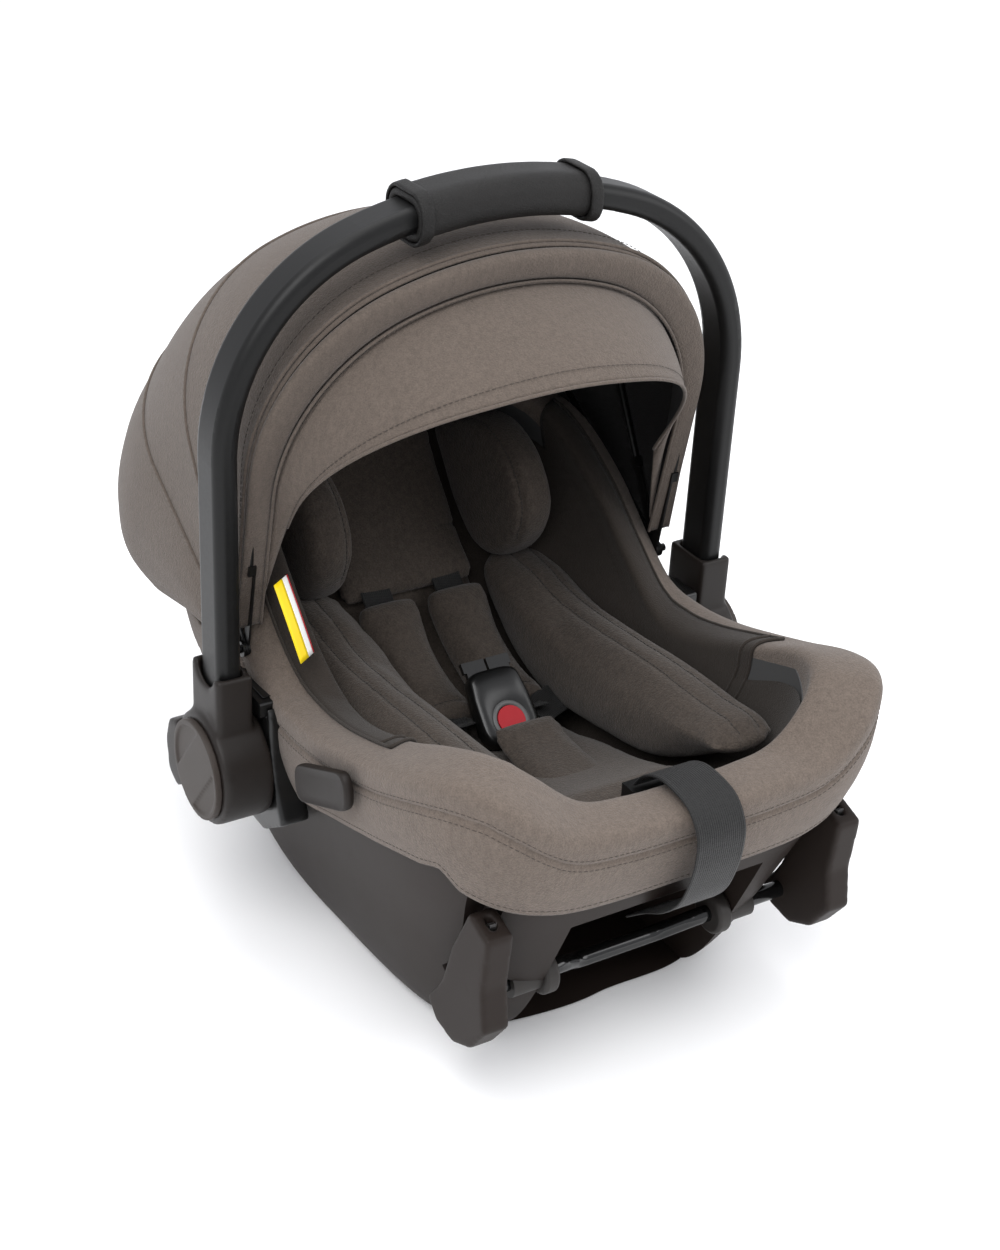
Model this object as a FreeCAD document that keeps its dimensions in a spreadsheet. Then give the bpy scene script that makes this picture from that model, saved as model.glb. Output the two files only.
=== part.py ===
"""Infant car seat with a swinging carry handle, a folding canopy and stowable latch arms.

Frame: millimetres, +Z up, -Y towards the foot end, +Y towards the head end, X = 0 the mirror plane.
The origin lies on the flat underside of the shell, on the mirror plane.
"""
import FreeCAD, Part
import math
import os

import Sketcher

os.makedirs("parts", exist_ok=True)
doc = FreeCAD.newDocument("InfantCarSeat")
V = FreeCAD.Vector
X_AXIS = V(1, 0, 0)
Y_AXIS = V(0, 1, 0)
Z_AXIS = V(0, 0, 1)
ORIGIN = V(0, 0, 0)
FAR = 700.0

# ---------------------------------------------------------------- driving dimensions
DIMENSIONS = {
    "shell_wall": 3.0,
    "cover_thick": 6.0,
    "liner_thick": 4.0,
    "foam_thick": 20.0,
    "part_gap": 0.3,
    "running_gap": 0.05,
    "handle_y": -12.0,
    "handle_z": 150.0,
    "handle_half_span": 204.0,
    "handle_leg": 236.0,
    "handle_top": 391.0,
    "handle_turn": 72.0,
    "tube_thick": 18.0,
    "tube_depth": 34.0,
    "tube_wall": 2.0,
    "tube_start": 30.0,
    "grip_half_length": 70.0,
    "grip_thick": 6.0,
    "collar_length": 10.0,
    "collar_thick": 3.0,
    "hub_radius": 42.0,
    "hub_inner_x": 183.0,
    "hub_depth": 38.0,
    "hub_cap_radius": 37.0,
    "hub_cap_depth": 5.0,
    "hub_cap_recess": 1.5,
    "hub_band_width": 32.0,
    "lug_thick": 20.0,
    "axle_radius": 6.0,
    "axle_length": 44.0,
    "bore_depth": 21.0,
    "socket_thick": 27.0,
    "socket_depth": 45.0,
    "socket_height": 80.0,
    "socket_notch": 14.0,
    "bracket_outer_x": 182.0,
    "button_length": 30.0,
    "button_height": 12.0,
    "button_depth": 10.0,
    "canopy_y": 10.0,
    "canopy_z": 225.0,
    "bow_radius": 2.5,
    "bow_half_span": 183.0,
    "leg_thick": 1.6,
    "leg_width": 12.0,
    "pin_radius": 3.0,
    "arm_inner_x": 130.0,
    "arm_thick": 20.0,
    "arm_pivot_y": -236.0,
    "arm_pivot_z": 74.0,
    "bar_radius": 6.0,
    "bush_radius": 16.0,
    "bush_length": 14.0,
    "recess_half": 78.0,
    "strap_width": 38.0,
    "strap_thick": 1.6,
    "harness_width": 25.0,
}
sheet = doc.addObject("Spreadsheet::Sheet", "Dims")
for row, (alias, value) in enumerate(DIMENSIONS.items(), 1):
    sheet.set(f"A{row}", alias)
    sheet.set(f"B{row}", str(value))
    sheet.setAlias(f"B{row}", alias)
doc.recompute()


def dim(alias):
    """A driving dimension, read from the sheet."""
    return float(sheet.get(alias))


GAP = dim("part_gap")
PARTS = []


def keep(part, label):
    """Registers a finished document object as one sub-part."""
    part.Label = label
    PARTS.append(part)
    return part


def feature(label, shape):
    """A sub-part whose shape is worked out with Part's own functions."""
    part = doc.addObject("Part::Feature", label)
    part.Shape = shape
    part.Placement = shape.Placement
    return keep(part, label)


def both_sides(label, shape):
    """The same piece on the right (+X) and mirrored on the left (-X)."""
    feature(label + "_right", shape)
    feature(label + "_left", mirrored(shape))


def mirrored(shape):
    return shape.mirror(ORIGIN, X_AXIS)


def pair(shape):
    """One node that holds a piece and its mirror image."""
    return Part.makeCompound([shape, mirrored(shape)])


# ---------------------------------------------------------------- shape helpers
def polygon(points):
    return Part.makePolygon(list(points) + [points[0]])


def side_plate(outline, low_x, high_x):
    """A plate with an outline of (y, z) points, extruded along X."""
    face = Part.Face(polygon([V(low_x, y, z) for y, z in outline]))
    return face.extrude(V(high_x - low_x, 0, 0))


def side_curve(points, low_x, high_x, top):
    """Everything from a smooth (y, z) line to the height top, extruded along X."""
    curve = Part.BSplineCurve()
    curve.interpolate([V(low_x, y, z) for y, z in points])
    first, last = points[0], points[-1]
    rest = Part.makePolygon(
        [V(low_x, last[0], last[1]), V(low_x, last[0], top), V(low_x, first[0], top),
         V(low_x, first[0], first[1])]
    )
    wire = Part.Wire([curve.toShape()] + rest.Edges)
    return Part.Face(wire).extrude(V(high_x - low_x, 0, 0))


def front_curve(points, low_y, high_y, top):
    """Everything from a smooth (x, z) line to the height top, extruded along Y."""
    curve = Part.BSplineCurve()
    curve.interpolate([V(x, low_y, z) for x, z in points])
    first, last = points[0], points[-1]
    rest = Part.makePolygon(
        [V(last[0], low_y, last[1]), V(last[0], low_y, top), V(first[0], low_y, top),
         V(first[0], low_y, first[1])]
    )
    wire = Part.Wire([curve.toShape()] + rest.Edges)
    return Part.Face(wire).extrude(V(0, high_y - low_y, 0))


def symmetric(points):
    """Mirrors a half outline given from the middle outwards."""
    return [(-x, z) for x, z in reversed(points) if x > 0] + list(points)


SECTION_POINTS = 32


def tub_section(level, grow):
    """A closed rounded outline at one height. A level is z, front y, back y, half width at the
    front, half width at the back, squareness at the front and squareness at the back."""
    z, front, back, half_front, half_back, square_front, square_back = level
    middle = (front + back) / 2
    half_length = (back - front) / 2 + grow
    points = []
    for step in range(SECTION_POINTS):
        angle = 2 * math.pi * step / SECTION_POINTS - math.pi / 2
        c, s = math.cos(angle), math.sin(angle)
        power = 2 / (square_front if s < 0 else square_back)
        along = math.copysign(abs(s) ** power, s)
        across = math.copysign(abs(c) ** power, c) if abs(c) > 1e-9 else 0.0
        half = half_front + (half_back - half_front) * (along + 1) / 2 + grow
        points.append(V(half * across, middle + half_length * along, z))
    curve = Part.BSplineCurve()
    curve.interpolate(points, PeriodicFlag=True)
    return Part.Wire(curve.toShape())


def tub(levels, grow=0.0, lift=0.0):
    """A solid lofted through the levels; grow moves its walls out, lift raises its floor."""
    raised = [(levels[0][0] + lift,) + levels[0][1:]] + list(levels[1:])
    return Part.makeLoft([tub_section(level, grow) for level in raised], True, False)


def arch_wire(half_span, leg_bottom, leg_top, top, turn_degrees):
    """Half-plane arch in X and Z: leg, corner arc, crown arc, corner arc, leg, all tangent."""
    turn = math.radians(turn_degrees)
    rise = top - leg_top
    slack = (1 - math.sin(turn)) / math.cos(turn)
    corner = (rise - half_span * slack) / (1 - slack)
    crown = corner + (half_span - corner) / math.cos(turn)
    corner_x = half_span - corner
    crown_z = top - crown
    end = V(corner_x + corner * math.cos(turn), 0, leg_top + corner * math.sin(turn))
    middle = V(corner_x + corner * math.cos(turn / 2), 0, leg_top + corner * math.sin(turn / 2))
    start = V(half_span, 0, leg_top)
    edges = [
        Part.LineSegment(V(half_span, 0, leg_bottom), start).toShape(),
        Part.Arc(start, middle, end).toShape(),
        Part.Arc(end, V(0, 0, crown_z + crown), V(-end.x, 0, end.z)).toShape(),
        Part.Arc(V(-end.x, 0, end.z), V(-middle.x, 0, middle.z), V(-start.x, 0, start.z)).toShape(),
        Part.LineSegment(V(-start.x, 0, start.z), V(-half_span, 0, leg_bottom)).toShape(),
    ]
    return Part.Wire(edges)


def rounded_profile(centre, thick, deep, corner):
    """A rounded rectangle in a horizontal plane: thick along X, deep along Y."""
    box = Part.makeBox(thick, deep, 1, centre - V(thick / 2, deep / 2, 0))
    face = [f for f in box.Faces if abs(f.CenterOfMass.z - centre.z) < 1e-6][0]
    solid = face.extrude(V(0, 0, 1))
    upright = [e for e in solid.Edges if abs(e.Vertexes[0].Z - e.Vertexes[-1].Z) > 0.5]
    solid = solid.makeFillet(corner, upright)
    base = [f for f in solid.Faces if abs(f.CenterOfMass.z - centre.z) < 1e-6][0]
    return base.OuterWire


def pipe(path, profile):
    """A solid swept along a wire."""
    return path.makePipeShell([profile], True, False, 2)


def round_edges(shape, radius, pick=None):
    """Fillets the picked edges; edges that can't take the radius are left out."""
    edges = [e for e in shape.Edges if pick is None or pick(e)]
    try:
        rounded = shape.makeFillet(radius, edges)
        if rounded.isValid() and rounded.Volume > 0:
            return rounded
    except Part.OCCError:
        pass
    return shape


def along_x(edge):
    return abs(edge.BoundBox.XLength - edge.Length) < 1e-3


def cylinder_x(radius, low_x, high_x, y, z):
    return Part.makeCylinder(radius, high_x - low_x, V(low_x, y, z), X_AXIS)


def strip(line, thickness):
    """A closed (y, z) outline of a band that hangs below a line of (y, z) points."""
    below = []
    for i, (y, z) in enumerate(line):
        before = line[max(i - 1, 0)]
        after = line[min(i + 1, len(line) - 1)]
        dy, dz = after[0] - before[0], after[1] - before[1]
        size = math.hypot(dy, dz)
        below.append((y + dz / size * thickness, z - dy / size * thickness))
    return list(line) + list(reversed(below))


# ---------------------------------------------------------------- the tub: shell, foam and covers
# z, front y, back y, half width front, half width back, squareness front, squareness back
SHELL_LEVELS = [
    (0, -198, 108, 112, 132, 5.0, 3.0),
    (14, -215, 150, 122, 140, 5.0, 3.0),
    (60, -242, 205, 138, 150, 5.0, 2.8),
    (120, -268, 240, 155, 157, 5.0, 2.6),
    (180, -291, 256, 171, 164, 5.0, 2.5),
    (230, -303, 262, 178, 165, 5.0, 2.5),
    (285, -307, 260, 179, 161, 5.0, 2.5),
    (345, -307, 246, 176, 151, 5.0, 2.5),
]
CAVITY_LEVELS = [
    (94, -105, 20, 62, 62, 3.0, 3.0),
    (120, -172, 46, 100, 92, 3.5, 3.0),
    (160, -230, 98, 126, 112, 4.0, 2.8),
    (205, -262, 142, 139, 124, 4.5, 2.8),
    (250, -274, 180, 145, 128, 4.5, 2.8),
    (300, -279, 210, 147, 128, 4.5, 2.8),
    (352, -281, 226, 147, 126, 4.5, 2.8),
]
# top line of the fabric rim, seen from the side
RIM_LINE = [
    (-340, 266), (-300, 274), (-263, 270), (-239, 263), (-190, 244), (-147, 230), (-107, 219),
    (-58, 212), (-14, 216), (22, 240), (60, 276), (110, 312), (160, 322), (300, 320),
]
# the rim dips across the foot end
FOOT_DIP = [(0, 230), (60, 231), (105, 238), (140, 262), (168, 285), (200, 300)]
# lower edge of the fabric cover: along the sides, and across the foot end
COVER_SIDE_LINE = [
    (-340, 150), (-285, 158), (-262, 194), (-228, 191), (-180, 177), (-132, 159), (-59, 131),
    (0, 128), (60, 150), (110, 165), (200, 182), (340, 190),
]
COVER_FOOT_LINE = [(0, 163), (60, 163), (105, 166), (147, 178), (176, 197), (220, 200)]
ROLL = 7.0
RECESS_PROFILE = [(-345, -20), (-345, 166), (-288, 152), (-246, 112), (-130, 92), (-130, -20)]

wall = dim("shell_wall")
outer = tub(SHELL_LEVELS)
inner = tub(SHELL_LEVELS, -wall, wall)
above_rim = side_curve(RIM_LINE, -FAR / 2, FAR / 2, FAR)
above_dip = front_curve(symmetric(FOOT_DIP), -340, -150, FAR)
above_rim = above_rim.fuse(above_dip)
above_hard_rim = above_rim.translated(V(0, 0, -ROLL))
recess_half = dim("recess_half")
recess = side_plate(RECESS_PROFILE, -recess_half, recess_half)


def grown_outline(profile, amount):
    """Moves a closed (y, z) outline outwards."""
    face = Part.Face(polygon([V(0, y, z) for y, z in profile]))
    wire = face.makeOffset2D(amount, join=2).OuterWire
    return [(v.Y, v.Z) for v in wire.OrderedVertexes]


recess_skin = side_plate(grown_outline(RECESS_PROFILE, wall), -recess_half - wall, recess_half + wall)

# latch arm and the slot that the foot-end corners leave for it
ARM_OUTLINE = [
    (-288, 160), (-263, 168), (-244, 128), (-234, 95), (-228, 84), (-216, 68), (-228, 56),
    (-250, 53), (-272, 64), (-289, 88), (-284, 118),
]
arm_y, arm_z = dim("arm_pivot_y"), dim("arm_pivot_z")
arm_low, arm_high = dim("arm_inner_x"), dim("arm_inner_x") + dim("arm_thick")
SLOT_OUTLINE = [(-340, 172), (-256, 176), (-238, 130), (-226, 100), (-206, 80), (-206, 30), (-340, 20)]
SLOT_SWING = 27.0


def arm_slot(extra):
    """Room for the right latch arm and its swing, open to the front and to the side."""
    room = side_plate(grown_outline(SLOT_OUTLINE, extra) if extra else SLOT_OUTLINE,
                      arm_low - 1.5 - extra, 240)
    swing = cylinder_x(SLOT_SWING + extra, arm_low - 1.5 - extra, 240, arm_y, arm_z)
    return room.fuse(swing)


slots = arm_slot(0).fuse(mirrored(arm_slot(0)))
slot_skins = arm_slot(wall).fuse(mirrored(arm_slot(wall)))
bush_hole = cylinder_x(dim("bush_radius") - 5, -arm_high - 5, arm_high + 5, arm_y, arm_z)
axle_hole = cylinder_x(dim("axle_radius") + dim("running_gap"), -FAR, FAR, dim("handle_y"), dim("handle_z"))

body_volume = outer.cut(recess).cut(slots)
hollow = inner.cut(recess_skin).cut(slot_skins)
shell = body_volume.cut(hollow).cut(above_hard_rim).cut(bush_hole).cut(axle_hole)
shell = max(shell.Solids, key=lambda s: s.Volume)
feature("seat_shell", shell)

# the pan that closes the recess underneath
PAN_THICK = 3.0
pan = Part.makeBox(2 * (recess_half - GAP), 215 - 130 - GAP, PAN_THICK, V(-recess_half + GAP, -215, 0))
feature("belly_pan", pan.common(outer))

cavity = tub(CAVITY_LEVELS)
foam = tub(CAVITY_LEVELS, dim("foam_thick"), -8)
foam = foam.common(tub(SHELL_LEVELS, -wall - GAP, wall + GAP))
foam = foam.cut(recess_skin).cut(cavity).cut(above_hard_rim).cut(axle_hole)
foam = max(foam.Solids, key=lambda s: s.Volume)
feature("foam_liner", foam)

cover_thick = dim("cover_thick")
COVER_SIDE_X = 125.0
COVER_FOOT_Z, COVER_HEAD_Z = 163.0, 184.0
below_sides = Part.makeBox(2 * FAR, 2 * FAR, FAR, V(-FAR, -FAR, -100)).cut(
    side_curve(COVER_SIDE_LINE, -FAR, FAR, 2 * FAR)
)
middle_block = Part.makeBox(2 * COVER_SIDE_X, 2 * FAR, FAR, V(-COVER_SIDE_X, -FAR, -100))
below_middle = Part.makeBox(2 * COVER_SIDE_X, 500, COVER_FOOT_Z, V(-COVER_SIDE_X, -340, 0)).fuse(
    Part.makeBox(2 * COVER_SIDE_X, 300, COVER_HEAD_Z, V(-COVER_SIDE_X, 60, 0))
)
below_foot = Part.makeBox(2 * FAR, 80, FAR, V(-FAR, -340, -100)).cut(
    front_curve(symmetric(COVER_FOOT_LINE), -340, -255, 2 * FAR)
)
BRACKET_OUTLINE = [
    (-62, 118), (-30, 96), (14, 96), (32, 122), (32, 186), (16, 207), (-34, 207), (-42, 196),
    (-42, 168), (-48, 146),
]
bracket_window = side_plate(grown_outline(BRACKET_OUTLINE, 4.0), 159, 260)
# the adjuster strap lies over the foot end of the cover and curls under it
STRAP_LINE = [
    (-248, 216), (-256, 227), (-270, 235), (-290, 236.5), (-308, 232), (-319, 218), (-320, 200),
    (-316, 180), (-308, 160), (-292, 142), (-272, 128), (-254, 113),
]
strap_half = dim("strap_width") / 2
strap_room = side_plate(grown_outline(strip(STRAP_LINE, dim("strap_thick")), GAP + 0.1),
                        -strap_half - GAP, strap_half + GAP)
# the cover is dished where the canopy's legs turn
DISH_RADIUS, DISH_FLOOR = 78.0, 173.6
leg_dish = cylinder_x(DISH_RADIUS, DISH_FLOOR, FAR, dim("canopy_y"), dim("canopy_z"))
cover = tub(SHELL_LEVELS, cover_thick)
cover = cover.cut(above_rim)
cover = cover.cut(below_sides.cut(middle_block)).cut(below_foot)
cover = cover.cut(below_middle)
cover = cover.cut(cavity)
clear_of = tub(SHELL_LEVELS, GAP).cut(above_hard_rim.translated(V(0, 0, GAP)))
cover = cover.cut(clear_of)
cover = cover.cut(bracket_window).cut(mirrored(bracket_window)).cut(strap_room)
cover = cover.cut(leg_dish).cut(mirrored(leg_dish))
cover = max(cover.Solids, key=lambda s: s.Volume)
feature("seat_cover", cover)

liner = cavity.cut(tub(CAVITY_LEVELS, -dim("liner_thick"), dim("liner_thick")))
liner = liner.cut(above_hard_rim.translated(V(0, 0, -4)))
liner = max(liner.Solids, key=lambda s: s.Volume)
feature("seat_liner", liner)

# the fabric skirt that closes the gap between the canopy and the shell behind the carry handle
SKIRT_TOP, SKIRT_BOTTOM, SKIRT_OFF = 206.0, 166.0, 11.0
SKIRT_LEVELS = [
    (SKIRT_BOTTOM, -250, 258, 164, 163, 4.0, 2.5),
    (185, -250, 264, 168, 166, 4.0, 2.5),
    (SKIRT_TOP, -250, 270, 170, 168, 4.0, 2.5),
]
skirt = tub(SKIRT_LEVELS, SKIRT_OFF).cut(tub(SKIRT_LEVELS, SKIRT_OFF - 3, -10).fuse(
    tub([(200, -250, 270, 170, 168, 4.0, 2.5), (230, -250, 270, 170, 168, 4.0, 2.5)], SKIRT_OFF - 3)))
skirt = skirt.common(Part.makeBox(500, 400, 200, V(-250, 62, 100)))
skirt = max(skirt.Solids, key=lambda s: s.Volume)
feature("canopy_skirt", skirt)


# ---------------------------------------------------------------- infant insert
# front surface of the insert on the mirror plane, from the foot end to the head
INSERT_LINE = [
    (-230, 191), (-190, 167), (-150, 149), (-100, 135), (-50, 127), (0, 126),
    (36, 138), (66, 158), (96, 188), (130, 224), (162, 262), (182, 288),
]
BASE_THICK = 20.0
BASE_HALF = 68.0
bowl = tub(CAVITY_LEVELS, -dim("liner_thick") - 2 * GAP, dim("liner_thick") + 2 * GAP)
base = side_plate(strip(INSERT_LINE, BASE_THICK), -BASE_HALF, BASE_HALF).common(bowl)
feature("insert_base", max(base.Solids, key=lambda s: s.Volume))


def raised(line, amount):
    return strip(line, -amount)[len(line):][::-1]


def soft_block(outline, low_x, high_x, radius):
    """A rounded upholstery block inside the bowl, on the right-hand side."""
    block = side_plate(outline, low_x, high_x)
    block = round_edges(block, radius, along_x)
    block = block.common(bowl)
    return max(block.Solids, key=lambda s: s.Volume)


BOLSTER_OUTLINE = [
    (-236, 204), (-212, 190), (-150, 150), (-100, 137), (-50, 129), (0, 128), (36, 140),
    (66, 160), (92, 186), (100, 204), (60, 212), (0, 208), (-60, 212), (-120, 216), (-180, 216),
    (-224, 214),
]
both_sides("insert_bolster", soft_block(BOLSTER_OUTLINE, BASE_HALF + 2, 118, 6))
HEAD_WING_OUTLINE = [
    (102, 208), (132, 228), (164, 266), (178, 286), (160, 300), (110, 316), (62, 296), (44, 262),
    (58, 224), (84, 206),
]
bolster_room = side_plate(grown_outline(BOLSTER_OUTLINE, 2 * GAP), BASE_HALF, 125)
head_wing = soft_block(HEAD_WING_OUTLINE, BASE_HALF + 2, 104, 6).cut(bolster_room)
both_sides("head_wing", max(head_wing.Solids, key=lambda s: s.Volume))
HEADREST_LINE = [(88, 184), (108, 203), (134, 231), (164, 267), (180, 289)]
headrest = side_plate(strip(raised(HEADREST_LINE, 13), 12), -BASE_HALF + 4, BASE_HALF - 4)
SHOULDER_LINE = [(77.5, 190.5), (84, 196), (92, 203)]
STRAP_X = 31.0
harness_half = dim("harness_width") / 2
harness_slot = side_plate(grown_outline(strip(SHOULDER_LINE, dim("strap_thick")), GAP + 0.1),
                          STRAP_X - harness_half - GAP, STRAP_X + harness_half + GAP)
headrest = headrest.cut(harness_slot).cut(mirrored(harness_slot))
feature("headrest_pad", max(headrest.Solids, key=lambda s: s.Volume))

# ---------------------------------------------------------------- harness
PAD_LINE = [(-34, 142), (-10, 143), (16, 150), (38, 160), (58, 174), (76, 192)]
pad = side_plate(strip(raised(PAD_LINE, 15), 22), 4, 58)
both_sides("shoulder_pad", round_edges(pad, 8, along_x))
thin = dim("strap_thick")


def strap(line, centre, half_width, thickness=thin):
    """Flat webbing that follows a (y, z) line."""
    return side_plate(strip(line, thickness), centre - half_width, centre + half_width)


shoulder_strap = strap(SHOULDER_LINE, STRAP_X, harness_half)
feature("shoulder_straps", pair(shoulder_strap))


def flat_band(start, end, width, thickness):
    """A straight length of webbing that lies nearly level."""
    across = (end - start).cross(Z_AXIS).normalize() * (width / 2)
    face = Part.Face(polygon([start - across, end - across, end + across, start + across]))
    return face.extrude(V(0, 0, thickness))


lap = flat_band(V(30, -62, 150), V(64, -50, 143), harness_half * 1.6, thin)
feature("lap_straps", pair(lap))
feature("crotch_strap", strap([(-72, 133.5), (-66, 140), (-60, 146)], 0, 19, 2))
CROTCH_LINE = [(-176, 175), (-140, 166), (-104, 166), (-84, 172)]
crotch_pad = side_plate(strip(CROTCH_LINE, 11), -34, 34)
feature("crotch_pad", round_edges(crotch_pad, 4, along_x))


# ---------------------------------------------------------------- PartDesign helpers
def plane_of(body, role):
    return [f for f in body.Origin.OriginFeatures if f.Role == role][0]


def new_body(label, base=ORIGIN, rotation=None):
    body = doc.addObject("PartDesign::Body", label)
    body.Placement = FreeCAD.Placement(base, rotation or FreeCAD.Rotation())
    return keep(body, label)


def new_sketch(body, role, offset=0.0):
    """A sketch on one of the body's own planes, moved along that plane's normal."""
    sketch = body.newObject("Sketcher::SketchObject", "Sketch")
    sketch.AttachmentSupport = [(plane_of(body, role), "")]
    sketch.MapMode = "FlatFace"
    sketch.AttachmentOffset = FreeCAD.Placement(V(0, 0, offset), FreeCAD.Rotation())
    return sketch


def add_circle(sketch, radius):
    """A circle on the sketch's origin whose radius follows an expression."""
    index = sketch.addGeometry(Part.Circle(ORIGIN, Z_AXIS, 10.0), False)
    sketch.addConstraint(Sketcher.Constraint("Coincident", index, 3, -1, 1))
    rule = sketch.addConstraint(Sketcher.Constraint("Radius", index, 10.0))
    sketch.setExpression(f"Constraints[{rule}]", radius)


def add_rectangle(sketch, wide, tall):
    """A rectangle centred on the sketch's origin whose sizes follow expressions."""
    corners = [V(-5, -5, 0), V(5, -5, 0), V(5, 5, 0), V(-5, 5, 0)]
    first = sketch.GeometryCount
    for i in range(4):
        sketch.addGeometry(Part.LineSegment(corners[i], corners[(i + 1) % 4]), False)
    for i in range(4):
        sketch.addConstraint(
            Sketcher.Constraint("Coincident", first + i, 2, first + (i + 1) % 4, 1)
        )
    for kind, line in (("Horizontal", 0), ("Vertical", 1), ("Horizontal", 2), ("Vertical", 3)):
        sketch.addConstraint(Sketcher.Constraint(kind, first + line))
    sketch.addConstraint(Sketcher.Constraint("Symmetric", first, 1, first + 2, 1, -1, 1))
    across = sketch.addConstraint(Sketcher.Constraint("DistanceX", first, 1, first, 2, 10.0))
    sketch.setExpression(f"Constraints[{across}]", wide)
    upward = sketch.addConstraint(Sketcher.Constraint("DistanceY", first + 1, 1, first + 1, 2, 10.0))
    sketch.setExpression(f"Constraints[{upward}]", tall)


def add_outline(sketch, points):
    """A closed straight-sided outline."""
    corners = [V(a, b, 0) for a, b in points]
    first = sketch.GeometryCount
    count = len(corners)
    for i in range(count):
        sketch.addGeometry(Part.LineSegment(corners[i], corners[(i + 1) % count]), False)
    for i in range(count):
        sketch.addConstraint(
            Sketcher.Constraint("Coincident", first + i, 2, first + (i + 1) % count, 1)
        )
        sketch.addConstraint(Sketcher.Constraint("Block", first + i))


def add_pad(body, sketch, length, reverse=False):
    pad_feature = body.newObject("PartDesign::Pad", "Pad")
    pad_feature.Profile = sketch
    pad_feature.setExpression("Length", length)
    pad_feature.Reversed = reverse
    return pad_feature


def add_pocket(body, sketch, length, reverse=False):
    pocket = body.newObject("PartDesign::Pocket", "Pocket")
    pocket.Profile = sketch
    pocket.setExpression("Length", length)
    pocket.Reversed = reverse
    return pocket


# ---------------------------------------------------------------- carry handle
hub = V(0, dim("handle_y"), dim("handle_z"))
handle_span = dim("handle_half_span")
handle_arch = arch_wire(handle_span, dim("tube_start"), dim("handle_leg"), dim("handle_top"),
                        dim("handle_turn"))
foot_of_tube = V(handle_span, 0, dim("tube_start"))
tube_thick, tube_depth, tube_wall = dim("tube_thick"), dim("tube_depth"), dim("tube_wall")
TUBE_CORNER = 7.0
tube = pipe(handle_arch, rounded_profile(foot_of_tube, tube_thick, tube_depth, TUBE_CORNER)).cut(
    pipe(handle_arch, rounded_profile(foot_of_tube, tube_thick - 2 * tube_wall,
                                      tube_depth - 2 * tube_wall, 5)))
tube.translate(hub)
feature("handle_tube", tube)


def band_on_handle(low_x, high_x, gap, thick):
    """A sleeve around the crown of the handle between two distances from the mirror plane."""
    grow_in, grow_out = 2 * gap, 2 * (gap + thick)
    band = pipe(handle_arch, rounded_profile(foot_of_tube, tube_thick + grow_out,
                                             tube_depth + grow_out, TUBE_CORNER + gap + thick))
    band = band.cut(pipe(handle_arch, rounded_profile(foot_of_tube, tube_thick + grow_in,
                                                      tube_depth + grow_in, TUBE_CORNER + gap)))
    window = Part.makeBox(high_x - low_x, 200, 200, V(low_x, -100, 300))
    band = band.common(window)
    band.translate(hub)
    return band


grip_half = dim("grip_half_length")
feature("grip_sleeve", band_on_handle(-grip_half, grip_half, 0.1, dim("grip_thick")))
collar = band_on_handle(grip_half - dim("collar_length"), grip_half, 0.2 + dim("grip_thick"),
                        dim("collar_thick"))
feature("grip_collars", pair(collar))

SIDES = {"right": 1, "left": -1}
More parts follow.
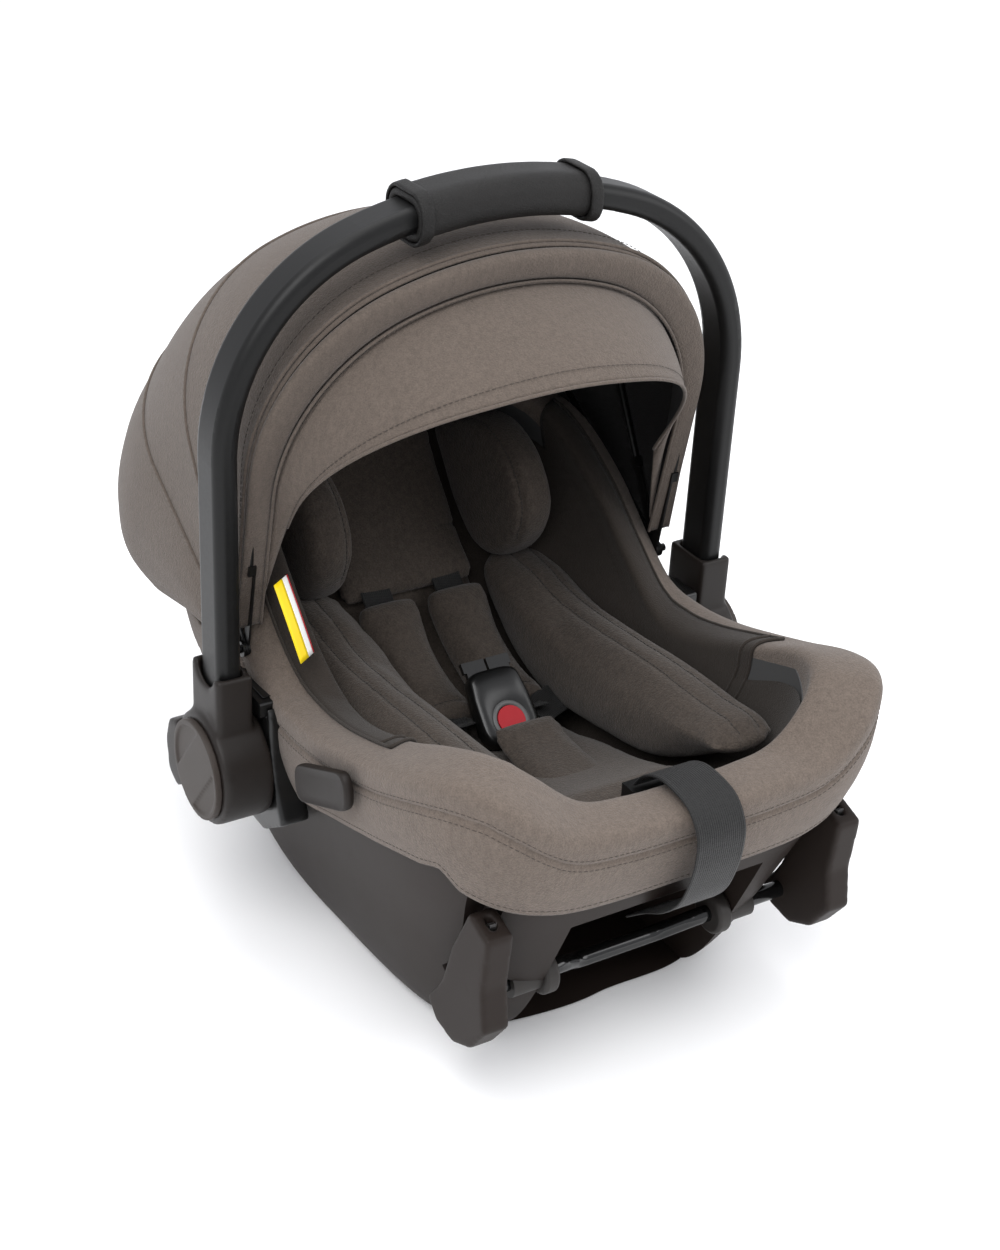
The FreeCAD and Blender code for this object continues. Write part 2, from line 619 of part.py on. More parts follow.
# stop lug behind the drum, relative to the hub axis
LUG_OUTLINE = [(30, 10), (47, 14), (60, 8), (66, -10), (62, -36), (48, -44), (28, -30)]
for side, sign in SIDES.items():
    inward = sign < 0
    socket = new_body(f"handle_socket_{side}", hub)
    drum = new_sketch(socket, "YZ_Plane", sign * dim("hub_inner_x"))
    drum.setExpression("AttachmentOffset.Base.z", f"{sign} * Dims.hub_inner_x")
    add_circle(drum, "Dims.hub_radius")
    add_pad(socket, drum, "Dims.hub_depth", inward)
    lug = new_sketch(socket, "YZ_Plane")
    lug.setExpression("AttachmentOffset.Base.z", f"{sign} * (Dims.hub_inner_x + Dims.hub_depth)")
    add_outline(lug, LUG_OUTLINE)
    add_pad(socket, lug, "Dims.lug_thick", not inward)
    sleeve = new_sketch(socket, "XY_Plane")
    sleeve.setExpression("AttachmentOffset.Base.x", f"{sign} * Dims.handle_half_span")
    add_rectangle(sleeve, "Dims.socket_thick", "Dims.socket_depth")
    add_pad(socket, sleeve, "Dims.socket_height")
    seat = new_sketch(socket, "XY_Plane")
    seat.setExpression("AttachmentOffset.Base.x", f"{sign} * Dims.handle_half_span")
    seat.setExpression("AttachmentOffset.Base.z", "Dims.tube_start")
    add_rectangle(seat, "Dims.tube_thick + 2 * Dims.part_gap", "Dims.tube_depth + 2 * Dims.part_gap")
    add_pocket(socket, seat, "Dims.socket_height", True)
    notch = new_sketch(socket, "YZ_Plane")
    notch.setExpression("AttachmentOffset.Base.z", f"{sign} * Dims.handle_half_span")
    notch.setExpression("AttachmentOffset.Base.y", "Dims.socket_height + 2")
    add_circle(notch, "Dims.socket_notch")
    add_pocket(socket, notch, "Dims.socket_thick", not inward)
    bore = new_sketch(socket, "YZ_Plane")
    bore.setExpression("AttachmentOffset.Base.z", f"{sign} * Dims.hub_inner_x")
    add_circle(bore, "Dims.axle_radius + Dims.running_gap")
    add_pocket(socket, bore, "Dims.bore_depth", not inward)

    cap = new_body(f"hub_cap_{side}", hub)
    disc = new_sketch(cap, "YZ_Plane")
    disc.setExpression("AttachmentOffset.Base.z", f"{sign} * (Dims.hub_inner_x + Dims.hub_depth)")
    add_circle(disc, "Dims.hub_cap_radius")
    add_pad(cap, disc, "Dims.hub_cap_depth", inward)
    band_half = dim("hub_band_width") / 2
    rim_radius = dim("hub_cap_radius") - 4
    reach = math.sqrt(rim_radius ** 2 - band_half ** 2)
    lean = math.radians(-52)
    for flip in (1, -1):
        dish = new_sketch(cap, "YZ_Plane")
        dish.setExpression(
            "AttachmentOffset.Base.z",
            f"{sign} * (Dims.hub_inner_x + Dims.hub_depth + Dims.hub_cap_depth)",
        )
        ends = [V(-reach, flip * band_half, 0), V(reach, flip * band_half, 0)]
        crest = V(0, flip * rim_radius, 0)
        ends = [FreeCAD.Rotation(Z_AXIS, math.degrees(lean)).multVec(p) for p in ends]
        crest = FreeCAD.Rotation(Z_AXIS, math.degrees(lean)).multVec(crest)
        dish.addGeometry(Part.Arc(ends[0], crest, ends[1]), False)
        dish.addGeometry(Part.LineSegment(ends[1], ends[0]), False)
        for rule in (("Coincident", 0, 1, 1, 2), ("Coincident", 0, 2, 1, 1), ("Block", 0), ("Block", 1)):
            dish.addConstraint(Sketcher.Constraint(*rule))
        add_pocket(cap, dish, "Dims.hub_cap_recess", inward)

axle = cylinder_x(dim("axle_radius"), 158, 158 + dim("axle_length"), hub.y, hub.z)
feature("handle_axles", pair(axle))

# ---------------------------------------------------------------- side brackets and their buttons
bracket_x = dim("bracket_outer_x")
button_size = [dim("button_depth"), dim("button_length"), dim("button_height")]
button_corner = V(bracket_x - button_size[0] + 4, -36, 194)
shell_clear = tub(SHELL_LEVELS, GAP)
bracket = round_edges(side_plate(BRACKET_OUTLINE, 159 + GAP, bracket_x), 4, along_x)
pocket_box = Part.makeBox(button_size[0] + 10, button_size[1] + 2 * GAP, button_size[2] + 2 * GAP,
                          button_corner - V(5, GAP, GAP))
bracket = bracket.cut(shell_clear).cut(pocket_box)
bracket = bracket.cut(cylinder_x(dim("axle_radius") + 0.1, 100, 260, hub.y, hub.z))
SCREW_PLACES = [(-22, 112), (20, 132)]
for y, z in SCREW_PLACES:
    bracket = bracket.cut(cylinder_x(4.2, bracket_x - 3, bracket_x + 1, y, z))
bracket = max(bracket.Solids, key=lambda s: s.Volume)
both_sides("hub_bracket", bracket)
heads = [cylinder_x(4.0, bracket_x - 2.8, bracket_x - 0.4, y, z) for y, z in SCREW_PLACES]
feature("bracket_screws", Part.makeCompound(heads + [mirrored(s) for s in heads]))
button = Part.makeBox(*button_size, button_corner)
button = round_edges(button, 2.5, along_x)
both_sides("handle_button", button)

GUIDE_OUTLINE = [(-176, 208), (-102, 170), (-98, 192), (-108, 200), (-168, 231), (-180, 226)]
GUIDE_INNER_X = 187.0
guide = round_edges(side_plate(GUIDE_OUTLINE, GUIDE_INNER_X, GUIDE_INNER_X + 5), 4, along_x)
guide_post = side_plate([(-150, 200), (-128, 190), (-124, 204), (-146, 214)], 160, GUIDE_INNER_X + 1)
cover_skin = tub(SHELL_LEVELS, cover_thick + GAP)
guide = guide.fuse(guide_post.cut(cover_skin))
both_sides("belt_guide", max(guide.Solids, key=lambda s: s.Volume))

# ---------------------------------------------------------------- canopy
pivot = V(0, dim("canopy_y"), dim("canopy_z"))
BOW_TURN = 70.0
LEG_BOTTOM = 14.0


def tilted(shape, angle):
    """Turns a shape drawn upright at the pivot; a positive angle leans it to the foot end."""
    turned = shape.copy()
    turned.rotate(ORIGIN, X_AXIS, angle)
    turned.translate(pivot)
    return turned


bow_half = dim("bow_half_span")
rod = dim("bow_radius")


def bow(top, angle, layer, extra=0.0):
    """A bent rod with a flat leg and an eye around the pivot pin at each end; extra grows it."""
    leg_top = top - 144
    rod_x = bow_half - 6
    path = arch_wire(rod_x, 70, leg_top, top - rod, BOW_TURN)
    ring = Part.Wire(Part.Circle(V(rod_x, 0, 70), Z_AXIS, rod + extra).toShape())
    bent = path.makePipeShell([ring], True, False, 2)
    inner_x = bow_half - 9 + layer * (dim("leg_thick") + GAP) - extra
    width, thick = dim("leg_width") + 2 * extra, dim("leg_thick") + 2 * extra
    eye = cylinder_x(width / 2, inner_x, inner_x + thick, 0, 0)
    blade = Part.makeBox(thick, width * 0.6, 72, V(inner_x, -width * 0.3, 0))
    joint = Part.makeBox(5.8 + 2 * extra, width * 0.6, 8, V(bow_half - 9.2 - extra, -width * 0.3, 66))
    leg = eye.fuse(blade).fuse(joint)
    leg = leg.cut(cylinder_x(dim("pin_radius") + dim("running_gap"), 0, 260, 0, 0))
    return tilted(bent.fuse([leg, mirrored(leg)]).removeSplitter(), angle)


BOW_TOPS = {"front": 286.0, "mid": 291.0, "rear": 303.0}
BOW_ANGLES = {"front": 10.0, "mid": -30.0, "rear": -60.0}
for layer, name in enumerate(("front", "mid", "rear")):
    feature(f"bow_{name}", bow(BOW_TOPS[name], BOW_ANGLES[name], layer))

pin = cylinder_x(dim("pin_radius"), DISH_FLOOR + GAP, bow_half + 1.5, pivot.y, pivot.z)
feature("canopy_pins", pair(pin))


def hoop(top, angle, depth=0.0, half=None, leg=24.0):
    """A closed wire around a canopy section: outer arch and the same arch a fabric's depth in."""
    half = half or bow_half - 2
    outside = arch_wire(half, leg, top - 146, top, BOW_TURN)
    inside = arch_wire(half - depth, leg, top - 146, top - depth, BOW_TURN)
    feet = [
        Part.LineSegment(V(-half, 0, leg), V(-half + depth, 0, leg)).toShape(),
        Part.LineSegment(V(half - depth, 0, leg), V(half, 0, leg)).toShape(),
    ]
    return tilted(Part.Wire(Part.sortEdges(outside.Edges + inside.Edges + feet)[0]), angle)


CLOTH = 2.0


def canopy_panel(stations):
    """Fabric between hoops: stations are (top, angle, half width, leg length)."""
    return Part.makeLoft([hoop(top, angle, CLOTH, half, leg) for top, angle, half, leg in stations],
                         True, False)


feature("canopy_panel_front", canopy_panel([
    (289, 8.0, 182, 24), (291, -5, 182, 24), (294, -18, 182, 24), (294.5, -29.5, 182, 24)]))
feature("canopy_panel_mid", canopy_panel([
    (294.5, -30.5, 182, 24), (300, -45, 182, 24), (306, -59.5, 182, 24)]))
feature("canopy_panel_rear", canopy_panel([
    (306, -60.5, 182, 24), (312, -76, 183, 24), (311, -88, 182, 24), (301, -97, 178, 40)]))
rim_band = Part.makeLoft([hoop(289, 13.0, 18, 184, 22), hoop(289, 8.6, 18, 184, 22)], True, True)
rim_band = rim_band.cut(bow(BOW_TOPS["front"], BOW_ANGLES["front"], 0, GAP))
feature("canopy_rim", max(rim_band.Solids, key=lambda s: s.Volume))


feature("visor_panel", canopy_panel([
    (266, 9.0, 162, 50), (264, 15.0, 160, 62), (257, 23.0, 155, 76), (249, 30.0, 148, 92)]))

# ---------------------------------------------------------------- latch arms
arm = round_edges(side_plate(ARM_OUTLINE, arm_low, arm_high), 3, along_x)
CLAW_SLOT = [(-279.5, 145), (-267.5, 145), (-267.5, 190), (-279.5, 190)]
claw_low, claw_high = arm_low + 7, arm_low + 12
CLAW_Y, CLAW_Z, CLAW_PIN = -274.7, 148.0, 1.5
claw_bore = cylinder_x(CLAW_PIN + dim("running_gap"), claw_low - 3, claw_high + 3, CLAW_Y, CLAW_Z)
arm = arm.cut(side_plate(CLAW_SLOT, claw_low - GAP, claw_high + GAP))
arm = arm.cut(cylinder_x(1.5, arm_low - 1, arm_high + 1, -268, 110)).cut(claw_bore)
feature("isofix_arm_right", arm)
feature("isofix_arm_left", mirrored(arm))
claw = side_plate([(-277, 146), (-272.4, 146), (-272.4, 156), (-274.6, 160), (-272.4, 163),
                   (-277, 165)], claw_low, claw_high)
claw = claw.fuse(cylinder_x(CLAW_PIN, claw_low - 2.5, claw_high + 2.5, CLAW_Y, CLAW_Z))
both_sides("isofix_claw", claw)
bar_path_points = [
    V(-arm_low, 0, 0), V(-57, 0, 0), V(-34, 16, -17), V(34, 16, -17), V(57, 0, 0), V(arm_low, 0, 0),
]


def rounded_path(points, radius):
    """Straight runs joined by tangent arcs."""
    edges = []
    last = points[0]
    for before, corner, after in zip(points, points[1:], points[2:]):
        to_before = (before - corner).normalize()
        to_after = (after - corner).normalize()
        half_turn = (math.pi - to_before.getAngle(to_after)) / 2
        back_off = radius * math.tan(half_turn)
        start, end = corner + to_before * back_off, corner + to_after * back_off
        bisector = (to_before + to_after).normalize()
        middle = corner + bisector * (radius / math.cos(half_turn) - radius)
        edges += [Part.LineSegment(last, start).toShape(), Part.Arc(start, middle, end).toShape()]
        last = end
    edges.append(Part.LineSegment(last, points[-1]).toShape())
    return Part.Wire(edges)


bar_path = rounded_path(bar_path_points, 18)
bar_ring = Part.Wire(Part.Circle(bar_path_points[0], X_AXIS, dim("bar_radius")).toShape())
bar = bar_path.makePipeShell([bar_ring], True, False, 2)
bar.translate(V(0, arm_y, arm_z))
feature("link_bar", bar)
bush_radius, bush_length = dim("bush_radius"), dim("bush_length")
bush = cylinder_x(bush_radius, recess_half - bush_length + 2, recess_half - GAP, arm_y, arm_z)
bush = round_edges(bush, 3)
bush = bush.fuse(cylinder_x(bush_radius - 5 - GAP, recess_half - GAP, recess_half + 22, arm_y, arm_z))
bush = bush.cut(cylinder_x(dim("bar_radius") + dim("running_gap"), 0, 200, arm_y, arm_z))
feature("arm_bushes", pair(bush))

# ---------------------------------------------------------------- buckle, adjuster, release lever
BUCKLE = V(0, -58, 160)
buckle_turn = FreeCAD.Rotation(X_AXIS, 42)


def place_on_buckle(shape):
    placed = shape.copy()
    placed.Placement = FreeCAD.Placement(BUCKLE, buckle_turn).multiply(shape.Placement)
    return placed


housing = Part.makeBox(48, 60, 15, V(-24, -26, -7.5))
housing = round_edges(housing, 6, lambda e: abs(e.BoundBox.ZLength - e.Length) < 1e-3)
button_well = Part.makeCylinder(11.3, 8, V(0, -8, 0.5))
housing = housing.cut(button_well)
housing = housing.cut(Part.makeBox(40, 12, 6, V(-20, 24, -3)))
feature("buckle_housing", place_on_buckle(housing))
press = Part.makeCylinder(11, 4.5, V(0, -8, 4.5))
feature("buckle_button", place_on_buckle(press))
tongue = Part.makeBox(17, 11, 4, V(1, 24.5, -2)).fuse(Part.makeBox(19, 8, 4, V(1, 35.5, -2)))
feature("buckle_tongues", place_on_buckle(pair(tongue)))

tail = strap(STRAP_LINE, 0, strap_half)
feature("adjuster_strap", tail)
ADJUSTER_FACE = -240.0
adjuster = Part.makeBox(44, 22, 35, V(-22, ADJUSTER_FACE - 22, 179)).common(bowl)
feature("adjuster_housing", max(adjuster.Solids, key=lambda s: s.Volume))
press_bar = Part.makeBox(20, 3, 10, V(-10, ADJUSTER_FACE + GAP, 202))
feature("adjuster_lever", round_edges(press_bar, 1, along_x))
LEVER_TRAVEL = 8.0
lever = round_edges(Part.makeBox(110, 16, 16, V(-55, 238, 118)), 4, along_x)
lever = lever.cut(shell_clear).cut(shell_clear.translated(V(0, 0, -LEVER_TRAVEL)))
feature("release_lever", max(lever.Solids, key=lambda s: s.Volume))

# ---------------------------------------------------------------- checks and export
doc.recompute()
for item in doc.Objects:
    if "Invalid" in item.State or "Error" in item.State:
        raise RuntimeError(f"{item.Label} did not rebuild: {item.State}")
for part in PARTS:
    if part.Shape.isNull() or not part.Shape.isValid() or not part.Shape.Solids:
        raise RuntimeError(f"{part.Label} is not a valid solid")
for part in PARTS:
    part.Shape.exportStep(os.path.join("parts", part.Label + ".step"))
    print(f"{part.Label}: {part.Shape.Volume / 1000:.1f} cm3, {len(part.Shape.Solids)} solid(s)")
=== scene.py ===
import math

import bmesh
import bpy
import numpy as np
from mathutils import Matrix, Vector
from mathutils.bvhtree import BVHTree
from mathutils.kdtree import KDTree


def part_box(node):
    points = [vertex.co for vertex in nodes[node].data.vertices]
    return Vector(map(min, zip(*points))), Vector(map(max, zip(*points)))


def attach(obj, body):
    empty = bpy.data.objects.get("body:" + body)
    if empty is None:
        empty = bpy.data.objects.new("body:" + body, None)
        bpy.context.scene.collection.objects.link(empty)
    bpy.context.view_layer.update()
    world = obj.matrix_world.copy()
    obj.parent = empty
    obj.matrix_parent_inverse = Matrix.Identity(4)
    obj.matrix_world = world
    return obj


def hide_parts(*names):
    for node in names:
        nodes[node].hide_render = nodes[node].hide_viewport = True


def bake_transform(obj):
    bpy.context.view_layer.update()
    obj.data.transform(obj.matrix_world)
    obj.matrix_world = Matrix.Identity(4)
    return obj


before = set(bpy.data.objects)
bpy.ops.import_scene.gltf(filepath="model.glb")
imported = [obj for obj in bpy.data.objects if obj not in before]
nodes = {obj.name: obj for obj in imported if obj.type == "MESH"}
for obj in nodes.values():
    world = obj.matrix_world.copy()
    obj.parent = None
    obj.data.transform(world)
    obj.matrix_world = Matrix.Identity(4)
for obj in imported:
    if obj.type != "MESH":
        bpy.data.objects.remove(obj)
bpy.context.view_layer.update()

MM = 0.001

# ------------------------------------------------------------------ shape helpers (millimetres)


def smooth(xs, ys, x):
    """Cubic curve through points, read at x."""
    xs, ys = np.asarray(xs, float), np.asarray(ys, float)
    slopes = np.gradient(ys, xs)
    i = np.clip(np.searchsorted(xs, x) - 1, 0, len(xs) - 2)
    h = xs[i + 1] - xs[i]
    t = np.clip((x - xs[i]) / h, 0, 1)
    a = ys[i] * (1 + 2 * t) * (1 - t) ** 2 + slopes[i] * h * t * (1 - t) ** 2
    b = ys[i + 1] * t * t * (3 - 2 * t) + slopes[i + 1] * h * t * t * (t - 1)
    return a + b


def along_line(points, count):
    """Evenly spaced points on a smooth curve through a few points."""
    p = np.asarray(points, float)
    t = np.concatenate([[0], np.cumsum(np.linalg.norm(np.diff(p, axis=0), axis=1))])
    fine = np.linspace(0, t[-1], 400)
    q = np.stack([smooth(t, p[:, k], fine) for k in range(p.shape[1])], -1)
    d = np.concatenate([[0], np.cumsum(np.linalg.norm(np.diff(q, axis=0), axis=1))])
    s = np.linspace(0, d[-1], count)
    return np.stack([np.interp(s, d, q[:, k]) for k in range(p.shape[1])], -1)


def closed_line(points, count):
    """Evenly spaced points on a smooth closed curve through a few points."""
    p = np.asarray(points, float)
    wrapped = np.concatenate([p[-3:], p, p[:4]])
    t = np.concatenate([[0], np.cumsum(np.linalg.norm(np.diff(wrapped, axis=0), axis=1))])
    fine = np.linspace(t[3], t[3 + len(p)], 600)
    q = np.stack([smooth(t, wrapped[:, k], fine) for k in range(p.shape[1])], -1)
    d = np.concatenate([[0], np.cumsum(np.linalg.norm(np.diff(q, axis=0), axis=1))])
    s = np.linspace(0, d[-1], count + 1)[:-1]
    return np.stack([np.interp(s, d, q[:, k]) for k in range(p.shape[1])], -1)


def make_mesh(name, verts, faces):
    """A smooth-shaded object from points in millimetres."""
    mesh = bpy.data.meshes.new(name)
    mesh.from_pydata((np.asarray(verts, float) * MM).tolist(), [], faces)
    mesh.validate()
    obj = bpy.data.objects.new(name, mesh)
    bpy.context.scene.collection.objects.link(obj)
    bm = bmesh.new()
    bm.from_mesh(mesh)
    bmesh.ops.remove_doubles(bm, verts=bm.verts, dist=1e-6)
    bmesh.ops.recalc_face_normals(bm, faces=bm.faces)
    bm.to_mesh(mesh)
    bm.free()
    mesh.polygons.foreach_set("use_smooth", [True] * len(mesh.polygons))
    return obj


def grid_faces(rows, columns, wrap_columns=False, start=0):
    faces = []
    last = columns if wrap_columns else columns - 1
    for i in range(rows - 1):
        for j in range(last):
            k = (j + 1) % columns
            faces.append(
                (start + i * columns + j, start + i * columns + k,
                 start + (i + 1) * columns + k, start + (i + 1) * columns + j)
            )
    return faces


def surface(name, rows, wrap=False):
    """An open sheet through a grid of points: rows x columns x 3."""
    rows = np.asarray(rows, float)
    n, m = rows.shape[:2]
    return make_mesh(name, rows.reshape(-1, 3), grid_faces(n, m, wrap))


def loft(name, sections):
    """A closed body through closed sections, with domed ends."""
    sections = np.asarray(sections, float)
    n, m = sections.shape[:2]
    verts = list(sections.reshape(-1, 3))
    faces = grid_faces(n, m, True)
    for ring, flip in ((0, True), (n - 1, False)):
        centre = sections[ring].mean(0)
        verts.append(centre)
        for j in range(m):
            a, b = ring * m + j, ring * m + (j + 1) % m
            faces.append((b, a, len(verts) - 1) if flip else (a, b, len(verts) - 1))
    return make_mesh(name, verts, faces)


def thicken(obj, thick, offset=-1.0, inner=None):
    """Gives a sheet its real thickness, in millimetres, and its inner face another look."""
    mod = obj.modifiers.new("thickness", "SOLIDIFY")
    if inner:
        obj.data.materials.append(None)
        obj.data.materials.append(M[inner])
        mod.material_offset = 1
    mod.thickness = thick * MM
    mod.offset = offset
    apply_modifiers(obj)
    return obj


def apply_modifiers(obj):
    bpy.context.view_layer.update()
    depsgraph = bpy.context.evaluated_depsgraph_get()
    mesh = bpy.data.meshes.new_from_object(obj.evaluated_get(depsgraph))
    old = obj.data
    obj.modifiers.clear()
    obj.data = mesh
    bpy.data.meshes.remove(old)


def subdivide(obj, levels=1):
    mod = obj.modifiers.new("fine", "SUBSURF")
    mod.levels = levels
    mod.render_levels = levels
    apply_modifiers(obj)
    return obj


def oval(count, half_wide, half_tall, power=2.6):
    """A closed rounded rectangle in its own plane."""
    a = np.linspace(0, 2 * math.pi, count, endpoint=False)
    c, s = np.cos(a), np.sin(a)
    return np.stack(
        [half_wide * np.sign(c) * abs(c) ** (2 / power), half_tall * np.sign(s) * abs(s) ** (2 / power)],
        -1,
    )


def end_taper(count, share=0.16, least=0.35, power=2.2):
    """Scales that round off both ends of a loft."""
    t = np.linspace(0, 1, count)
    edge = np.minimum(t, 1 - t) / share
    inside = np.clip(1 - edge, 0, 1)
    return least + (1 - least) * (1 - inside ** power) ** (1 / power)


def puff(obj, cap, voxel=5.0):
    """Swells a closed pad with Blender's cloth, moving no point further than cap millimetres."""
    mod = obj.modifiers.new("even", "REMESH")
    mod.mode = "VOXEL"
    mod.voxel_size = voxel * MM
    mod.use_smooth_shade = True
    apply_modifiers(obj)
    start = np.array([v.co for v in obj.data.vertices])
    cloth = obj.modifiers.new("cloth", "CLOTH")
    settings = cloth.settings
    settings.use_pressure = True
    settings.uniform_pressure_force = 4.0
    settings.effector_weights.gravity = 0
    settings.quality = 5
    settings.mass = 0.3
    settings.tension_stiffness = 15
    settings.compression_stiffness = 15
    settings.bending_stiffness = 0.5
    cloth.point_cache.frame_start = 1
    cloth.point_cache.frame_end = 20
    scene = bpy.context.scene
    for step in range(1, 21):
        scene.frame_set(step)
    bpy.context.view_layer.update()
    depsgraph = bpy.context.evaluated_depsgraph_get()
    posed = obj.evaluated_get(depsgraph).to_mesh()
    moved = np.array([v.co for v in posed.vertices])
    obj.evaluated_get(depsgraph).to_mesh_clear()
    obj.modifiers.remove(cloth)
    scene.frame_set(1)
    step = moved - start
    size = np.linalg.norm(step, axis=1, keepdims=True)
    step *= np.minimum(1, cap * MM / np.maximum(size, 1e-9))
    obj.data.vertices.foreach_set("co", (start + step).ravel())
    relax = obj.modifiers.new("relax", "SMOOTH")
    relax.iterations = 6
    relax.factor = 0.5
    apply_modifiers(obj)
    subdivide(obj)
    obj.data.polygons.foreach_set("use_smooth", [True] * len(obj.data.polygons))
    return obj


def stitches(name, points, spacing=5.0, length=3.2, radius=0.35):
    """A row of thread stitches along a line of points that lies on a surface."""
    p = np.asarray(points, float)
    d = np.concatenate([[0], np.cumsum(np.linalg.norm(np.diff(p, axis=0), axis=1))])
    verts, faces = [], []
    sides = 6
    for s in np.arange(spacing / 2, d[-1] - length, spacing):
        ends = [np.array([np.interp(q, d, p[:, k]) for k in range(3)]) for q in (s, s + length)]
        axis = ends[1] - ends[0]
        axis /= np.linalg.norm(axis) + 1e-9
        side = np.cross(axis, [0.3, 0.5, 0.8])
        side /= np.linalg.norm(side)
        up = np.cross(axis, side)
        base = len(verts)
        for share, fat in ((-0.06, 0.3), (0.1, 0.9), (0.5, 1.1), (0.9, 0.9), (1.06, 0.3)):
            centre = ends[0] + (ends[1] - ends[0]) * share
            for k in range(sides):
                a = 2 * math.pi * k / sides
                verts.append(centre + (side * math.cos(a) + up * math.sin(a)) * radius * fat)
        faces += grid_faces(5, sides, True, base)
        faces.append(tuple(base + k for k in range(sides))[::-1])
        faces.append(tuple(base + 4 * sides + k for k in range(sides)))
    mesh = bpy.data.meshes.new(name)
    mesh.from_pydata((np.asarray(verts) * MM).tolist(), [], faces)
    obj = bpy.data.objects.new(name, mesh)
    bpy.context.scene.collection.objects.link(obj)
    mesh.polygons.foreach_set("use_smooth", [True] * len(mesh.polygons))
    return obj


def tube_along(name, points, radius, sides=10):
    """A round cord, such as a fabric piping, along a line of points."""
    p = np.asarray(points, float)
    n = len(p)
    ahead = np.roll(p, -1, 0) - np.roll(p, 1, 0)
    ahead[0], ahead[-1] = p[1] - p[0], p[-1] - p[-2]
    ahead /= np.linalg.norm(ahead, axis=1, keepdims=True) + 1e-9
    side = np.cross(ahead[0], [0.31, 0.52, 0.79])
    rings = []
    for i in range(n):
        side = side - ahead[i] * side.dot(ahead[i])
        side /= np.linalg.norm(side)
        up = np.cross(ahead[i], side)
        a = np.linspace(0, 2 * math.pi, sides, endpoint=False)
        rings.append(p[i] + radius * (np.outer(np.cos(a), side) + np.outer(np.sin(a), up)))
    return loft(name, rings)


# ------------------------------------------------------------------ the tub, as in the frame
# z, front y, back y, half width front, half width back, squareness front, squareness back
SHELL_LEVELS = [
    (0, -198, 108, 112, 132, 5.0, 3.0),
    (14, -215, 150, 122, 140, 5.0, 3.0),
    (60, -242, 205, 138, 150, 5.0, 2.8),
    (120, -268, 240, 155, 157, 5.0, 2.6),
    (180, -291, 256, 171, 164, 5.0, 2.5),
    (230, -303, 262, 178, 165, 5.0, 2.5),
    (285, -307, 260, 179, 161, 5.0, 2.5),
    (345, -307, 246, 176, 151, 5.0, 2.5),
]
CAVITY_LEVELS = [
    (94, -105, 20, 62, 62, 3.0, 3.0),
    (120, -172, 46, 100, 92, 3.5, 3.0),
    (160, -230, 98, 126, 112, 4.0, 2.8),
    (205, -262, 142, 139, 124, 4.5, 2.8),
    (250, -274, 180, 145, 128, 4.5, 2.8),
    (300, -279, 210, 147, 128, 4.5, 2.8),
    (352, -281, 226, 147, 126, 4.5, 2.8),
]
RIM_LINE = [
    (-340, 266), (-300, 274), (-263, 270), (-239, 263), (-190, 244), (-147, 230), (-107, 219),
    (-58, 212), (-14, 216), (22, 240), (60, 276), (110, 312), (160, 322), (300, 320),
]
FOOT_DIP = [(0, 230), (60, 231), (105, 238), (140, 262), (168, 285), (200, 300)]
COVER_SIDE_LINE = [
    (-340, 150), (-285, 158), (-262, 194), (-228, 191), (-180, 177), (-132, 159), (-59, 131),
    (0, 128), (60, 150), (110, 165), (200, 182), (340, 190),
]
COVER_FOOT_LINE = [(0, 163), (60, 163), (105, 166), (147, 178), (176, 197), (220, 200)]


def tub(levels, angle, z, grow=0.0):
    """Points on a rounded tub's wall at plan angles and heights."""
    columns = np.array(levels, float).T
    front, back, half_front, half_back, square_front, square_back = (
        smooth(columns[0], column, z) for column in columns[1:]
    )
    middle, half_length = (front + back) / 2, (back - front) / 2 + grow
    c, s = np.cos(angle), np.sin(angle)
    power = 2 / np.where(s < 0, square_front, square_back)
    along = np.sign(s) * abs(s) ** power
    across = np.sign(c) * abs(c) ** power
    half = half_front + (half_back - half_front) * (along + 1) / 2 + grow
    return np.stack([half * across, middle + half_length * along, z + 0 * angle], -1)


def even_angles(levels, z, count):
    """Plan angles that divide the tub's outline evenly, starting at the foot end."""
    right = math.pi / 2
    quarter = (np.linspace(0, 1, 4001)[:1001] * 4) ** 4 * right
    turns = [right - quarter[::-1], quarter] * 2
    angle = np.unique(np.concatenate([(k - 1) * right + turn for k, turn in enumerate(turns)]))
    p = tub(levels, angle, np.full_like(angle, z))
    d = np.concatenate([[0], np.cumsum(np.linalg.norm(np.diff(p, axis=0), axis=1))])
    return np.interp(np.linspace(0, d[-1], count + 1)[:-1], d, angle)


def rim_height(p):
    """Height of the fabric rim at a plan position."""
    x, y = np.abs(p[..., 0]), p[..., 1]
    side = smooth(*np.array(RIM_LINE, float).T, y)
    foot = smooth(*np.array(FOOT_DIP, float).T, np.minimum(x, 199))
    blend = np.clip((y + 190) / 40, 0, 1)
    foot = foot + blend * 200
    soft = 9.0
    low = np.minimum(side, foot)
    return low - soft * 0.35 * np.exp(-((side - foot) / soft) ** 2)


def cover_low(p):
    """Height of the fabric cover's lower edge at a plan position."""
    x, y = np.abs(p[..., 0]), p[..., 1]
    side = smooth(*np.array(COVER_SIDE_LINE, float).T, y)
    foot = smooth(*np.array(COVER_FOOT_LINE, float).T, np.minimum(x, 219))
    ahead = np.clip((-246 - y) / 14, 0, 1)
    blended = foot * ahead + side * (1 - ahead)
    behind = np.clip((y - 150) / 60, 0, 1)
    return blended * (1 - behind) + 185 * behind


# ------------------------------------------------------------------ materials


